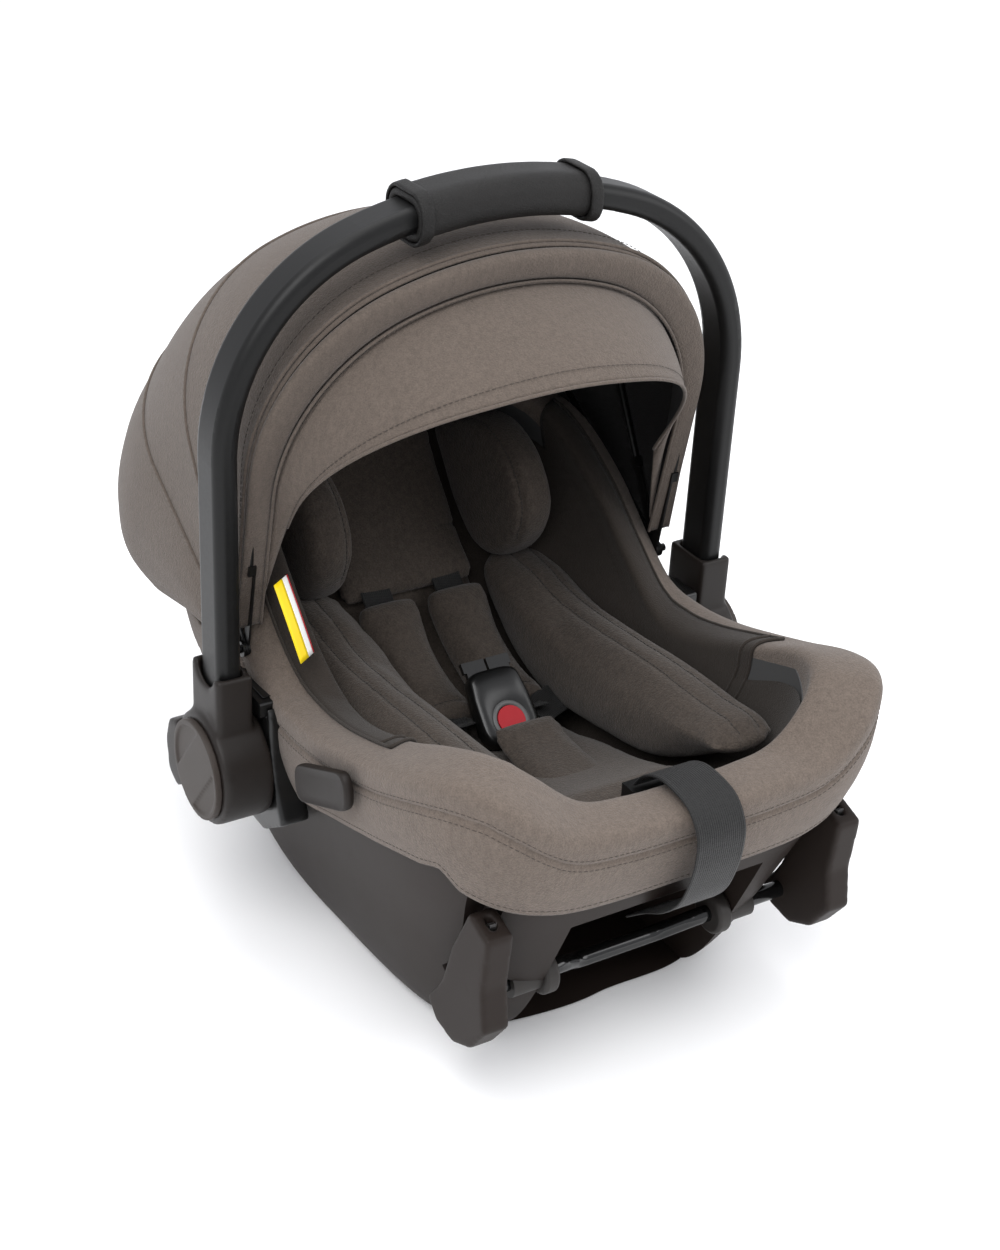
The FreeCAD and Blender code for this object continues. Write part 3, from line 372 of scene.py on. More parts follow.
class Nodes:
    """Small helper that writes a material's node tree."""

    def __init__(self, name):
        self.material = bpy.data.materials.new(name)
        self.material.use_nodes = True
        self.tree = self.material.node_tree
        self.shader = self.tree.nodes["Principled BSDF"]
        self.place = self.add("ShaderNodeTexCoord").outputs["Object"]

    def add(self, kind, **values):
        node = self.tree.nodes.new(kind)
        for key, value in values.items():
            setattr(node, key, value)
        return node

    def link(self, a, b):
        self.tree.links.new(a, b)

    def scaled(self, scale):
        node = self.add("ShaderNodeMapping")
        node.inputs["Scale"].default_value = scale
        self.link(self.place, node.inputs["Vector"])
        return node.outputs["Vector"]

    def noise(self, scale, detail=3.0, rough=0.55, vector=None):
        node = self.add("ShaderNodeTexNoise")
        node.inputs["Scale"].default_value = scale
        node.inputs["Detail"].default_value = detail
        node.inputs["Roughness"].default_value = rough
        self.link(vector or self.place, node.inputs["Vector"])
        return node.outputs["Fac"]

    def math(self, operation, a, b=0.5):
        node = self.add("ShaderNodeMath", operation=operation)
        for slot, value in enumerate((a, b)):
            if isinstance(value, (int, float)):
                node.inputs[slot].default_value = value
            else:
                self.link(value, node.inputs[slot])
        return node.outputs[0]

    def ramp(self, fac, stops):
        node = self.add("ShaderNodeValToRGB")
        elements = node.color_ramp.elements
        while len(elements) < len(stops):
            elements.new(0.5)
        for element, (position, colour) in zip(elements, stops):
            element.position = position
            element.color = (*colour, 1) if len(colour) == 3 else colour
        self.link(fac, node.inputs["Fac"])
        return node.outputs["Color"]

    def bump(self, height, strength, distance):
        node = self.add("ShaderNodeBump")
        node.inputs["Strength"].default_value = strength
        node.inputs["Distance"].default_value = distance
        self.link(height, node.inputs["Height"])
        return node

    def finish(self, colour, roughness, normal=None, **fixed):
        self.link(colour, self.shader.inputs["Base Color"])
        if isinstance(roughness, (int, float)):
            self.shader.inputs["Roughness"].default_value = roughness
        else:
            self.link(roughness, self.shader.inputs["Roughness"])
        if normal is not None:
            self.link(normal.outputs["Normal"], self.shader.inputs["Normal"])
        for key, value in fixed.items():
            self.shader.inputs[key.replace("_", " ")].default_value = value
        return self.material


def shade(colour, factor):
    return tuple(min(1.0, c * factor) for c in colour)


def fabric(name, colour, fine=1500.0, heather=0.18, sheen=0.25, depth=0.0006):
    """Fine knitted cloth: heathered yarn colour, a small loop pattern and a soft sheen."""
    n = Nodes(name)
    yarn = n.noise(fine, 2.0, 0.7)
    slub = n.noise(fine * 0.30, 2.0, 0.6, n.scaled((1.0, 1.0, 0.45)))
    tone = n.noise(16.0, 3.0, 0.5)
    loops = n.add("ShaderNodeTexVoronoi")
    loops.inputs["Scale"].default_value = fine * 0.62
    n.link(n.place, loops.inputs["Vector"])
    yarns = n.math("ADD", n.math("MULTIPLY", yarn, 0.58), n.math("MULTIPLY", slub, 0.34))
    mixed = n.math("ADD", yarns, n.math("MULTIPLY", tone, 0.08))
    colours = n.ramp(mixed, [
        (0.38, shade(colour, 1 - heather)), (0.5, colour), (0.62, shade(colour, 1 + heather))])
    height = n.math("ADD", yarn, n.math("MULTIPLY", loops.outputs["Distance"], 0.8))
    fine_bump = n.bump(height, 0.7, depth)
    return n.finish(colours, 0.92, fine_bump, Sheen_Weight=sheen, Sheen_Roughness=0.5,
                    Specular_IOR_Level=0.25)


def plastic(name, colour, roughness=0.55, grain=2600.0, depth=0.00012, wear=0.08, gloss=0.3):
    """Moulded plastic with a fine spark-eroded grain."""
    n = Nodes(name)
    grain_noise = n.noise(grain, 2.0, 0.6)
    broad = n.noise(9.0, 4.0, 0.6)
    colours = n.ramp(broad, [(0.3, shade(colour, 1 - wear)), (0.7, shade(colour, 1 + wear))])
    rough = n.math("ADD", n.math("MULTIPLY", broad, 0.12), roughness - 0.06)
    return n.finish(colours, rough, n.bump(grain_noise, 0.35, depth), Specular_IOR_Level=gloss)


def leather(name, colour):
    n = Nodes(name)
    cells = n.add("ShaderNodeTexVoronoi", feature="DISTANCE_TO_EDGE")
    cells.inputs["Scale"].default_value = 620.0
    n.link(n.place, cells.inputs["Vector"])
    pores = n.noise(1900.0, 3.0)
    tone = n.noise(40.0, 3.0)
    colours = n.ramp(tone, [(0.35, shade(colour, 0.8)), (0.65, shade(colour, 1.25))])
    creases = n.math("MINIMUM", cells.outputs["Distance"], 0.16)
    height = n.math("ADD", creases, n.math("MULTIPLY", pores, 0.06))
    rough = n.math("ADD", n.math("MULTIPLY", tone, 0.2), 0.38)
    return n.finish(colours, rough, n.bump(height, 0.9, 0.0012), Specular_IOR_Level=0.22)


def webbing(name, colour):
    """Woven strap: fine ribs across its length."""
    n = Nodes(name)
    wave = n.add("ShaderNodeTexWave", wave_type="BANDS", bands_direction="X")
    wave.inputs["Scale"].default_value = 190.0
    wave.inputs["Distortion"].default_value = 0.6
    wave.inputs["Detail"].default_value = 1.0
    n.link(n.place, wave.inputs["Vector"])
    weft = n.noise(1400.0, 2.0, 0.6, n.scaled((0.25, 1.4, 1.4)))
    height = n.math("ADD", n.math("MULTIPLY", wave.outputs["Fac"], 0.5), n.math("MULTIPLY", weft, 0.9))
    colours = n.ramp(weft, [(0.35, shade(colour, 0.6)), (0.65, shade(colour, 1.9))])
    return n.finish(colours, 0.5, n.bump(height, 0.8, 0.0006), Sheen_Weight=0.05,
                    Specular_IOR_Level=0.25)


def metal(name, colour, roughness, metallic=1.0, coat=0.0, gloss=0.5):
    n = Nodes(name)
    streak = n.noise(300.0, 3.0, 0.6, n.scaled((0.2, 1.0, 1.0)))
    colours = n.ramp(streak, [(0.3, shade(colour, 0.88)), (0.7, shade(colour, 1.1))])
    rough = n.math("ADD", n.math("MULTIPLY", streak, 0.1), roughness - 0.05)
    return n.finish(colours, rough, n.bump(streak, 0.08, 0.0002), Metallic=metallic,
                    Coat_Weight=coat, Coat_Roughness=0.08, Specular_IOR_Level=gloss)


TAUPE = (0.108, 0.086, 0.071)
DARK_TAUPE = (0.050, 0.0395, 0.032)
SHELL_BROWN = (0.0165, 0.0118, 0.0098)
M = {
    "cover": fabric("cover_fabric", shade(TAUPE, 1.06), 1000.0, 0.20, 0.12, 0.0007),
    "canopy": fabric("canopy_fabric", shade(TAUPE, 0.80), 1000.0, 0.18, 0.12, 0.0007),
    "visor": fabric("visor_fabric", shade(TAUPE, 0.88), 1000.0, 0.18, 0.12, 0.0007),
    "insert": fabric("insert_jersey", DARK_TAUPE, 900.0, 0.30, 0.12, 0.0008),
    "lining": fabric("lining_fabric", shade(DARK_TAUPE, 0.55), 1500.0, 0.12, 0.08),
    "inside": fabric("canopy_inside", (0.012, 0.011, 0.011), 1500.0, 0.12, 0.05),
    "shell": plastic("shell_plastic", SHELL_BROWN, 0.52, gloss=0.16),
    "socket": plastic("socket_plastic", (0.012, 0.0095, 0.0082), 0.44, gloss=0.22),
    "guide": plastic("guide_plastic", (0.013, 0.0102, 0.0088), 0.5, gloss=0.2),
    "cap": plastic("cap_plastic", (0.036, 0.029, 0.025), 0.50, gloss=0.2),
    "black": plastic("black_plastic", (0.004, 0.004, 0.004), 0.30, depth=0.00005, gloss=0.4),
    "bush": plastic("bush_rubber", (0.022, 0.019, 0.017), 0.5),
    "red": plastic("red_plastic", (0.36, 0.002, 0.009), 0.34, depth=0.00004),
    "grey": plastic("grey_plastic", (0.10, 0.10, 0.10), 0.42),
    "tube": metal("black_tube", (0.0045, 0.0045, 0.0045), 0.40, 0.0, 0.0, 0.22),
    "gloss": metal("gloss_black", (0.004, 0.004, 0.004), 0.14, 0.0, 0.0, 0.45),
    "steel": metal("steel", (0.42, 0.42, 0.42), 0.32),
    "grip": leather("grip_leather", (0.0075, 0.007, 0.0066)),
    "webbing": webbing("webbing", (0.006, 0.006, 0.006)),
    "thread": fabric("thread", shade(TAUPE, 0.45), 3000.0, 0.2, 0.1),
    "dark_thread": fabric("dark_thread", (0.02, 0.018, 0.016), 3000.0, 0.2, 0.1),
    "yellow": plastic("yellow_label", (0.85, 0.62, 0.01), 0.45, depth=0.00002),
    "white": plastic("white_label", (0.75, 0.75, 0.73), 0.45, depth=0.00002),
}


def dress(obj, look, body=None, replaced=()):
    """Gives a piece its material and its body, and hides the parts it replaces."""
    if len(obj.data.materials) < 2:
        obj.data.materials.clear()
        obj.data.materials.append(M[look])
    obj.data.materials[0] = M[look]
    if body:
        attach(obj, body)
    if replaced:
        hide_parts(*replaced)
    return obj


def paint(look, *names):
    for name in names:
        data = nodes[name].data
        data.materials.clear()
        data.materials.append(M[look])


paint("shell", "seat_shell", "belly_pan", "release_lever")
paint("black", "handle_button_left", "handle_button_right", "adjuster_housing", "adjuster_lever",
      "buckle_tongues")
paint("red", "buckle_button")
paint("bush", "arm_bushes")
paint("tube", "handle_tube")
paint("gloss", "link_bar")
paint("steel", "handle_axles", "bracket_screws", "isofix_claw_left", "isofix_claw_right")
paint("tube", "canopy_pins", "bow_front", "bow_mid", "bow_rear")

# ------------------------------------------------------------------ seat cover
PERIMETER = 300
angles = even_angles(SHELL_LEVELS, 230, PERIMETER)
COVER_GROW = 6.6
SEAM_DROP = 23.0
ROLL_SQUARE = 0.62
RIM_ROLL = 12.0


def cover_profile():
    """Rows of points from the lower hem, up the outside, over the rim and down the inside."""
    outer_mid = tub(SHELL_LEVELS, angles, np.full(PERIMETER, 245.0), COVER_GROW)
    top = rim_height(outer_mid)
    low = cover_low(tub(SHELL_LEVELS, angles, np.full(PERIMETER, 185.0), COVER_GROW))
    rows = []
    for grow, rise in ((1.0, 3.0), (3.0, 0.4), (5.4, 0.6), (6.6, 2.6)):
        rows.append(tub(SHELL_LEVELS, angles, low + rise, grow))
    for share in np.linspace(0.03, 1.0, 44):
        z = low + (top - RIM_ROLL - low) * share
        below = (top - SEAM_DROP - z)
        climbed = share * (top - RIM_ROLL - low) / (top - SEAM_DROP - low)
        puffy = 1.8 * np.sin(math.pi * np.clip(climbed, 0, 1))
        groove = 1.7 * np.exp(-(below / 1.7) ** 2)
        rows.append(tub(SHELL_LEVELS, angles, z, COVER_GROW + puffy - groove))
    over = rows[-1]
    inner = tub(CAVITY_LEVELS, angles, top - RIM_ROLL, 0.0)
    for t in np.linspace(0, 1, 25)[1:]:
        a = math.pi * t
        squared = math.copysign(abs(math.cos(a)) ** ROLL_SQUARE, math.cos(a))
        share = (1 - squared) / 2
        p = over * (1 - share) + inner * share
        p[:, 2] = top - RIM_ROLL + RIM_ROLL * math.sin(a) ** ROLL_SQUARE
        rows.append(p)
    for drop in (8, 18, 30, 44, 60):
        z = np.maximum(top - RIM_ROLL - drop, 110)
        rows.append(tub(CAVITY_LEVELS, angles, z, 0.6))
    return np.array(rows), top, low


cover_rows, rim_top, hem_low = cover_profile()
cover = surface("seat_cover_cloth", cover_rows, wrap=True)
dress(cover, "cover", "shell", ["seat_cover"])

lining_rows = []
for share in np.linspace(0, 1, 22):
    z = (rim_top - 30) * (1 - share) + 97 * share
    lining_rows.append(tub(CAVITY_LEVELS, angles, z, -1.2))
floor_ring = lining_rows[-1]
for share in (0.75, 0.5, 0.25, 0.02):
    centre = np.array([0, -40, 96.0])
    lining_rows.append(centre + (floor_ring - centre) * share)
lining = surface("seat_lining", lining_rows, wrap=True)
dress(lining, "lining", "shell", ["seat_liner"])

# ------------------------------------------------------------------ canopy
PIVOT = np.array([0, 10.0, 225.0])
BOW_TURN = math.radians(70)


def arch(half, top, leg_bottom, count, corner_drop=146.0):
    """Points (x, r) along a bow: leg, corner, crown, corner, leg."""
    leg_top = top - corner_drop
    slack = (1 - math.sin(BOW_TURN)) / math.cos(BOW_TURN)
    corner = (corner_drop - half * slack) / (1 - slack)
    crown = corner + (half - corner) / math.cos(BOW_TURN)
    corner_x = half - corner
    pts = [(half, r) for r in np.linspace(leg_bottom, leg_top, 30)]
    pts += [(corner_x + corner * math.cos(a), leg_top + corner * math.sin(a))
            for a in np.linspace(0, BOW_TURN, 40)[1:]]
    pts += [(crown * math.cos(a), top - crown + crown * math.sin(a))
            for a in np.linspace(BOW_TURN, math.pi / 2, 30)[1:]]
    pts = np.array(pts)
    full = np.concatenate([pts, pts[::-1][1:] * [-1, 1]])
    d = np.concatenate([[0], np.cumsum(np.linalg.norm(np.diff(full, axis=0), axis=1))])
    s = np.linspace(0, d[-1], count)
    return np.stack([np.interp(s, d, full[:, 0]), np.interp(s, d, full[:, 1])], -1)


def lean(xr, degrees):
    """Places (x, r) points in a plane through the canopy's pivot, leaning to the foot end."""
    a = np.radians(degrees)
    return PIVOT + np.stack(
        [xr[:, 0], -xr[:, 1] * np.sin(a), xr[:, 1] * np.cos(a)], -1)


ALONG = 161
CLOTH = 1.4


def canopy_rows(stations, steps, sag):
    """Cloth between hoops. Stations are (top, angle, half width, leg bottom)."""
    stations = np.array(stations, float)
    order = -stations[:, 1]
    rows = []
    share = np.linspace(0, 1, steps)
    t = np.linspace(-1, 1, ALONG)
    high = np.clip(1 - abs(t) ** 3, 0, 1)
    for s in share:
        where = order[0] + (order[-1] - order[0]) * s
        top, half, leg = (smooth(order, stations[:, k], where) for k in (0, 2, 3))
        xr = arch(float(half), float(top), float(leg), ALONG)
        pull = sag * math.sin(math.pi * s) * high
        size = np.linalg.norm(xr, axis=1, keepdims=True)
        xr = xr * (1 - pull[:, None] / size)
        rows.append(lean(xr, -where))
    return np.array(rows)


front_rows = canopy_rows([(289, 9.5, 182.5, 20), (290.5, -5, 182.5, 20), (293.5, -30, 182, 20)], 40, 2.0)
mid_rows = canopy_rows([(293.5, -30, 182, 20), (300, -45, 182.5, 20), (306, -60, 182, 20)], 30, 2.5)
rear_rows = canopy_rows([(306, -60, 182, 20), (320, -73, 186, 20), (325, -86, 188, 20),
                         (318, -95, 185, 30), (300, -101, 176, 52)], 48, 0.0)
front_cloth = thicken(surface("canopy_cloth_front", front_rows), CLOTH, -1, "inside")
dress(front_cloth, "canopy")
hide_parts("canopy_panel_front")
mid_cloth = thicken(surface("canopy_cloth_mid", mid_rows), CLOTH, -1, "inside")
dress(mid_cloth, "canopy")
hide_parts("canopy_panel_mid")
rear_cloth = thicken(surface("canopy_cloth_rear", rear_rows), CLOTH, -1, "inside")
dress(rear_cloth, "canopy")
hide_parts("canopy_panel_rear")


def rim_band():
    """The padded band round the canopy's mouth."""
    count = 200
    outer_xr = arch(183.5, 289, 20, count)
    inner_xr = arch(166, 268, 20, count, 140)
    sections = []
    shape = oval(20, 0.5, 0.5, 2.8)
    for a, b in zip(outer_xr, inner_xr):
        centre, span = (a + b) / 2, b - a
        section = []
        for u, w in shape:
            xr = centre + span * u
            section.append(lean(xr[None], 10.5 + w * 2.2)[0])
        sections.append(section)
    return loft("canopy_rim_band", sections)


rim = dress(rim_band(), "canopy", "canopy_front", ["canopy_rim"])

visor_rows = []
for share in np.linspace(0, 1, 26):
    t = np.linspace(-1, 1, ALONG)
    top = 268 - 20 * share
    half = 166 - 14 * share
    leg = 30 + 70 * share
    xr = arch(half, top, leg, ALONG, 140 - 10 * share)
    high = np.clip(1 - abs(t) ** 2.6, 0, 1)
    visor_rows.append(lean(xr, 8.0 + 22.0 * share * (0.12 + 0.88 * high)))
visor = thicken(surface("visor_cloth", visor_rows), 1.6, -1, "inside")
dress(visor, "visor", "visor", ["visor_panel"])


# ------------------------------------------------------------------ pads of the newborn insert
INSERT_LINE = [
    (-230, 191), (-190, 167), (-150, 149), (-100, 135), (-50, 127), (0, 126), (36, 138), (66, 158),
    (96, 188), (130, 224), (162, 262), (182, 288),
]
BOLSTER = [
    (-236, 204), (-212, 190), (-150, 150), (-100, 137), (-50, 129), (0, 128), (36, 140), (66, 160),
    (92, 186), (100, 204), (60, 212), (0, 208), (-60, 212), (-120, 216), (-180, 216), (-224, 214),
]
HEAD_WING = [
    (102, 208), (132, 228), (164, 266), (178, 286), (160, 300), (110, 316), (62, 296), (44, 262),
    (58, 224), (84, 206),
]


def across_line(line):
    """Directions square to a (y, z) line, towards the child."""
    ahead = np.gradient(line, axis=0)
    ahead /= np.linalg.norm(ahead, axis=1, keepdims=True)
    return np.stack([-ahead[:, 1], ahead[:, 0]], -1)


def run_pad(name, line, centre_x, half, low, high, power=3.0, count=40, taper=0.12, least=0.5,
            waist=None):
    """A pad that follows a (y, z) line, lying from low to high above it."""
    line = along_line(line, count)
    normal = across_line(line)
    scale = end_taper(count, taper, least)
    sections = []
    for i in range(count):
        wide = half * (0.75 + 0.25 * scale[i]) * (waist[i] if waist is not None else 1)
        ring = oval(36, wide, (high - low) / 2 * scale[i], power)
        centre = line[i] + normal[i] * (low + high) / 2
        sections.append([(centre_x + u, *(centre + normal[i] * w)) for u, w in ring])
    return loft(name, sections)


def side_pad(name, outline, inner, outer, lean_share, shrink=3.0, round_off=13.0, side=1):
    """A pad with a side-view outline, rounded over towards both faces."""
    line = closed_line(outline, 120)
    ahead = np.roll(line, -1, 0) - np.roll(line, 1, 0)
    ahead /= np.linalg.norm(ahead, axis=1, keepdims=True)
    inward = np.stack([-ahead[:, 1], ahead[:, 0]], -1)
    if np.sum((line - line.mean(0)) * inward) > 0:
        inward = -inward
    base = smooth(*np.array(INSERT_LINE, float).T, line[:, 0])
    height = np.clip(line[:, 1] - base, 0, 90)
    sections = []
    for u in np.linspace(-1, 1, 17):
        inset = shrink + round_off * (1 - math.sqrt(1 - min(0.985, abs(u)) ** 2.6))
        yz = line + inward * inset
        left = inner + lean_share * height
        x = (left + outer) / 2 + (outer - left) / 2 * u
        sections.append(np.stack([side * x, yz[:, 0], yz[:, 1]], -1))
    return loft(name, sections)


def on_surface(obj, points, lift=0.2):
    """Moves points on to an object's skin."""
    mesh = obj.data
    tree = BVHTree.FromPolygons([v.co for v in mesh.vertices], [p.vertices for p in mesh.polygons])
    result = []
    for point in points:
        place, normal, _, _ = tree.find_nearest(Vector(point) * MM)
        away = normal if normal.dot(Vector(point) * MM - place) > -0.01 else -normal
        result.append(np.array(place) / MM + np.array(away) * lift)
    return np.array(result)


def groove(obj, points, depth=1.6, width=2.4):
    """Presses a sewn line into a soft piece."""
    tree = KDTree(len(points))
    for i, point in enumerate(points):
        tree.insert(Vector(point) * MM, i)
    tree.balance()
    mesh = obj.data
    for vertex in mesh.vertices:
        gap = tree.find(vertex.co)[2] / MM
        if gap < width * 2.5:
            vertex.co -= vertex.normal * depth * MM * math.exp(-((gap / width) ** 2))
    mesh.update()


def sew(obj, name, points, depth=1.6):
    """A sewn line on a soft piece: the pressed groove and its thread."""
    line = on_surface(obj, along_line(points, len(points)), 0.0)
    dense = np.concatenate([line + (np.roll(line, -1, 0) - line) * s for s in (0, 0.5)])
    groove(obj, dense[:-1], depth)
    dress(stitches(name, on_surface(obj, line, 0.15), 4.2), "dark_thread", "shell")


def from_node(name, new_name):
    """A new object with a CAD node's shape, for a soft piece that starts from it."""
    obj = bpy.data.objects.new(new_name, nodes[name].data.copy())
    bpy.context.scene.collection.objects.link(obj)
    return obj


def soften(name, look, body, voxel, steps):
    """The node's shape with its moulded edges rounded."""
    obj = from_node(name, name + "_moulded")
    mod = obj.modifiers.new("even", "REMESH")
    mod.mode = "VOXEL"
    mod.voxel_size = voxel * MM
    apply_modifiers(obj)
    relax = obj.modifiers.new("relax", "SMOOTH")
    relax.iterations = steps
    relax.factor = 0.6
    apply_modifiers(obj)
    obj.data.polygons.foreach_set("use_smooth", [True] * len(obj.data.polygons))
    return dress(obj, look, body, [name])


CUSHION_LINE = [
    (-228, 200), (-190, 179), (-150, 162), (-100, 147), (-60, 134), (0, 126), (36, 138), (66, 158),
    (96, 188), (130, 224), (162, 262), (182, 288),
]
base_pad = puff(run_pad("insert_cushion", CUSHION_LINE, 0, 66, -18.5, -1.5, 4.0, 60, 0.06, 0.5), 3.0)
dress(base_pad, "insert", "shell", ["insert_base"])

for side, word in ((1, "right"), (-1, "left")):
    bolster = puff(side_pad("bolster_" + word, BOLSTER, 61, 119, 0.24, 1.5, 14.0, side), 4.5)
    dress(bolster, "insert", "shell", ["insert_bolster_" + word])
    wing = puff(side_pad("head_pad_" + word, HEAD_WING, 60, 106, 0.08, 1.0, 12.0, side), 4.0)
    dress(wing, "insert", "shell", ["head_wing_" + word])
    ridge = [(side * (78 + 0.16 * 60), y, z) for y, z in along_line(
        [(-224, 208), (-180, 210), (-120, 210), (-60, 207), (0, 203), (60, 206), (90, 200)], 90)]
    sew(bolster, "bolster_seam_in_" + word, ridge)
    ridge = [(x + side * 17, y, z + 3) for x, y, z in ridge]
    sew(bolster, "bolster_seam_out_" + word, ridge)
    crest = [(side * 76, y, z) for y, z in along_line(
        [(56, 232), (50, 262), (66, 290), (108, 308), (152, 296)], 60)]
    sew(wing, "head_pad_seam_" + word, crest)
    shoulder = run_pad("harness_pad_" + word,
                       [(-34, 142), (-10, 143), (16, 150), (38, 160), (58, 174), (76, 192)],
                       side * 30, 26.5, -6.5, 16.5, 2.5, 40, 0.12, 0.5)
    shoulder = puff(shoulder, 4.0, 4.0)
    dress(shoulder, "insert", "shell", ["shoulder_pad_" + word])
    hem = [(side * 31 + x, -24, 160) for x in np.linspace(-22, 22, 24)]
    sew(shoulder, "harness_pad_hem_" + word, hem, depth=1.2)

headrest = run_pad("headrest_cushion", [(88, 184), (108, 203), (134, 231), (164, 267), (180, 289)],
                   0, 62, 2.5, 12.0, 3.4, 40, 0.10, 0.5)
headrest = puff(headrest, 3.0)
dress(headrest, "insert", "shell", ["headrest_pad"])
sew(headrest, "headrest_seam", [(x, 118, 224) for x in np.linspace(-56, 56, 60)])

crotch = run_pad("crotch_cushion", [(-176, 166), (-140, 164), (-104, 166), (-84, 172)], 0, 33,
                 -9.5, -0.8, 3.0, 30, 0.14, 0.5, np.linspace(1.0, 0.86, 30))
crotch = puff(crotch, 2.5, 4.0)
dress(crotch, "insert", "shell", ["crotch_pad"])

# ------------------------------------------------------------------ webbing


def band(name, line, half, thick, look="webbing", body="shell", replaced=(), count=60, hint=(1, 0, 0)):
    """A flat woven strap along a line, with its selvedges."""
    line = along_line(line, count)
    ahead = np.gradient(line, axis=0)
    ahead /= np.linalg.norm(ahead, axis=1, keepdims=True)
    hint = np.array(hint, float)
    sections = []
    for point, forward in zip(line, ahead):
        side = hint - forward * hint.dot(forward)
        side /= np.linalg.norm(side)
        up = np.cross(forward, side)
        ring = oval(28, half, thick / 2, 5.0)
        ridge = 1 + 0.35 * (abs(ring[:, 0]) > half * 0.86)
        sections.append([point + side * u + up * w * r for (u, w), r in zip(ring, ridge)])
    return dress(loft(name, sections), look, body, replaced)


ADJUSTER_LINE = [
    (-248, 216), (-256, 227), (-270, 235), (-290, 236.5), (-308, 232), (-319, 218), (-320, 200),
    (-316, 180), (-308, 160), (-292, 142), (-272, 128), (-254, 113),
]
band("adjuster_webbing", [(0, y, z) for y, z in ADJUSTER_LINE], 19, 1.6,
     replaced=["adjuster_strap"], count=110)
for side in (1, -1):
    band("harness_upper_%d" % (side + 1), [(side * 31, y, z) for y, z in
         ((58, 176), (77.5, 190.5), (84, 196), (92, 203))], 12.5, 1.6,
         replaced=["shoulder_straps"] if side > 0 else [], count=24)
    band("harness_lower_%d" % (side + 1), [(side * 27, -58, 158), (side * 29, -44, 151),
         (side * 31, -30, 147), (side * 31, -16, 149)], 12.5, 1.6, count=24)
    band("harness_lap_%d" % (side + 1), [(side * 30, -56, 150), (side * 44, -46, 148),
         (side * 56, -38, 145), (side * 68, -30, 141)], 12.5, 1.6,
         replaced=["lap_straps"] if side > 0 else [], count=30, hint=(0.3 * side, 1, 0.2))
band("harness_crotch", [(0, -74, 132.5), (0, -66, 140), (0, -58, 147)], 19, 1.6,
     replaced=["crotch_strap"], count=20)

# ------------------------------------------------------------------ rounded mouldings
for word in ("left", "right"):
    soften("handle_socket_" + word, "socket", "handle", 1.8, 12)
    soften("hub_bracket_" + word, "black", "shell", 1.8, 8)
    soften("isofix_arm_" + word, "shell", "latch_arms", 1.6, 6)
    soften("hub_cap_" + word, "cap", "handle", 0.9, 4)
soften("grip_sleeve", "grip", "handle", 1.6, 10)
soften("grip_collars", "grip", "handle", 1.2, 8)
soften("canopy_skirt", "canopy", "shell", 2.4, 6)

# ------------------------------------------------------------------ belt guides


def rounded_polygon(corners, radius, steps=7):
    """A (y, z) outline with its corners rounded."""
    corners = np.array(corners, float)
    points = []
    for before, corner, after in zip(np.roll(corners, 1, 0), corners, np.roll(corners, -1, 0)):
        a, b = before - corner, after - corner
        cut = min(radius, np.linalg.norm(a) * 0.45, np.linalg.norm(b) * 0.45)
        a, b = a / np.linalg.norm(a) * cut, b / np.linalg.norm(b) * cut
        for t in np.linspace(0, 1, steps):
            points.append(corner + a * (1 - t) ** 2 + b * t ** 2)
    return np.array(points)


GUIDE_CORNERS = [(-178, 204), (-104, 169), (-98, 196), (-172, 231)]
for word in ("left", "right"):
    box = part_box("belt_guide_" + word)
    sign = 1 if box[1][0] > 0 else -1
    outline = rounded_polygon(GUIDE_CORNERS, 14)
    centre = outline.mean(0)
    rings = []
    for depth, scale in ((184.5, 0.90), (185.0, 0.955), (186.0, 0.985), (188.5, 1.0), (190.8, 0.99),
                         (191.7, 0.965), (192.0, 0.93), (191.5, 0.90), (191.6, 0.5)):
        yz = centre + (outline - centre) * scale
        rings.append(np.stack([np.full(len(yz), sign * depth), yz[:, 0], yz[:, 1]], -1))
    dress(loft("belt_guide_plate_" + word, rings), "guide", "shell", ["belt_guide_" + word])

# ------------------------------------------------------------------ buckle face
BUCKLE = np.array([0, -58.0, 160.0])
BUCKLE_TURN = math.radians(42)


def on_buckle(points):
    """From the buckle's own frame to the seat's."""
    p = np.asarray(points, float)
    y = p[..., 1] * math.cos(BUCKLE_TURN) - p[..., 2] * math.sin(BUCKLE_TURN)
    z = p[..., 1] * math.sin(BUCKLE_TURN) + p[..., 2] * math.cos(BUCKLE_TURN)
    return np.stack([p[..., 0], y, z], -1) + BUCKLE


BUCKLE_SIDES = 64
BUTTON_DROP = 8
turn = np.linspace(0, 2 * math.pi, BUCKLE_SIDES, endpoint=False)


def button_ring(wide, tall, height):
    """A ring round the button, in the buckle's own frame."""
    ring = [wide * np.cos(turn), tall * np.sin(turn) - BUTTON_DROP, np.full(BUCKLE_SIDES, height)]
    return np.stack(ring, -1)


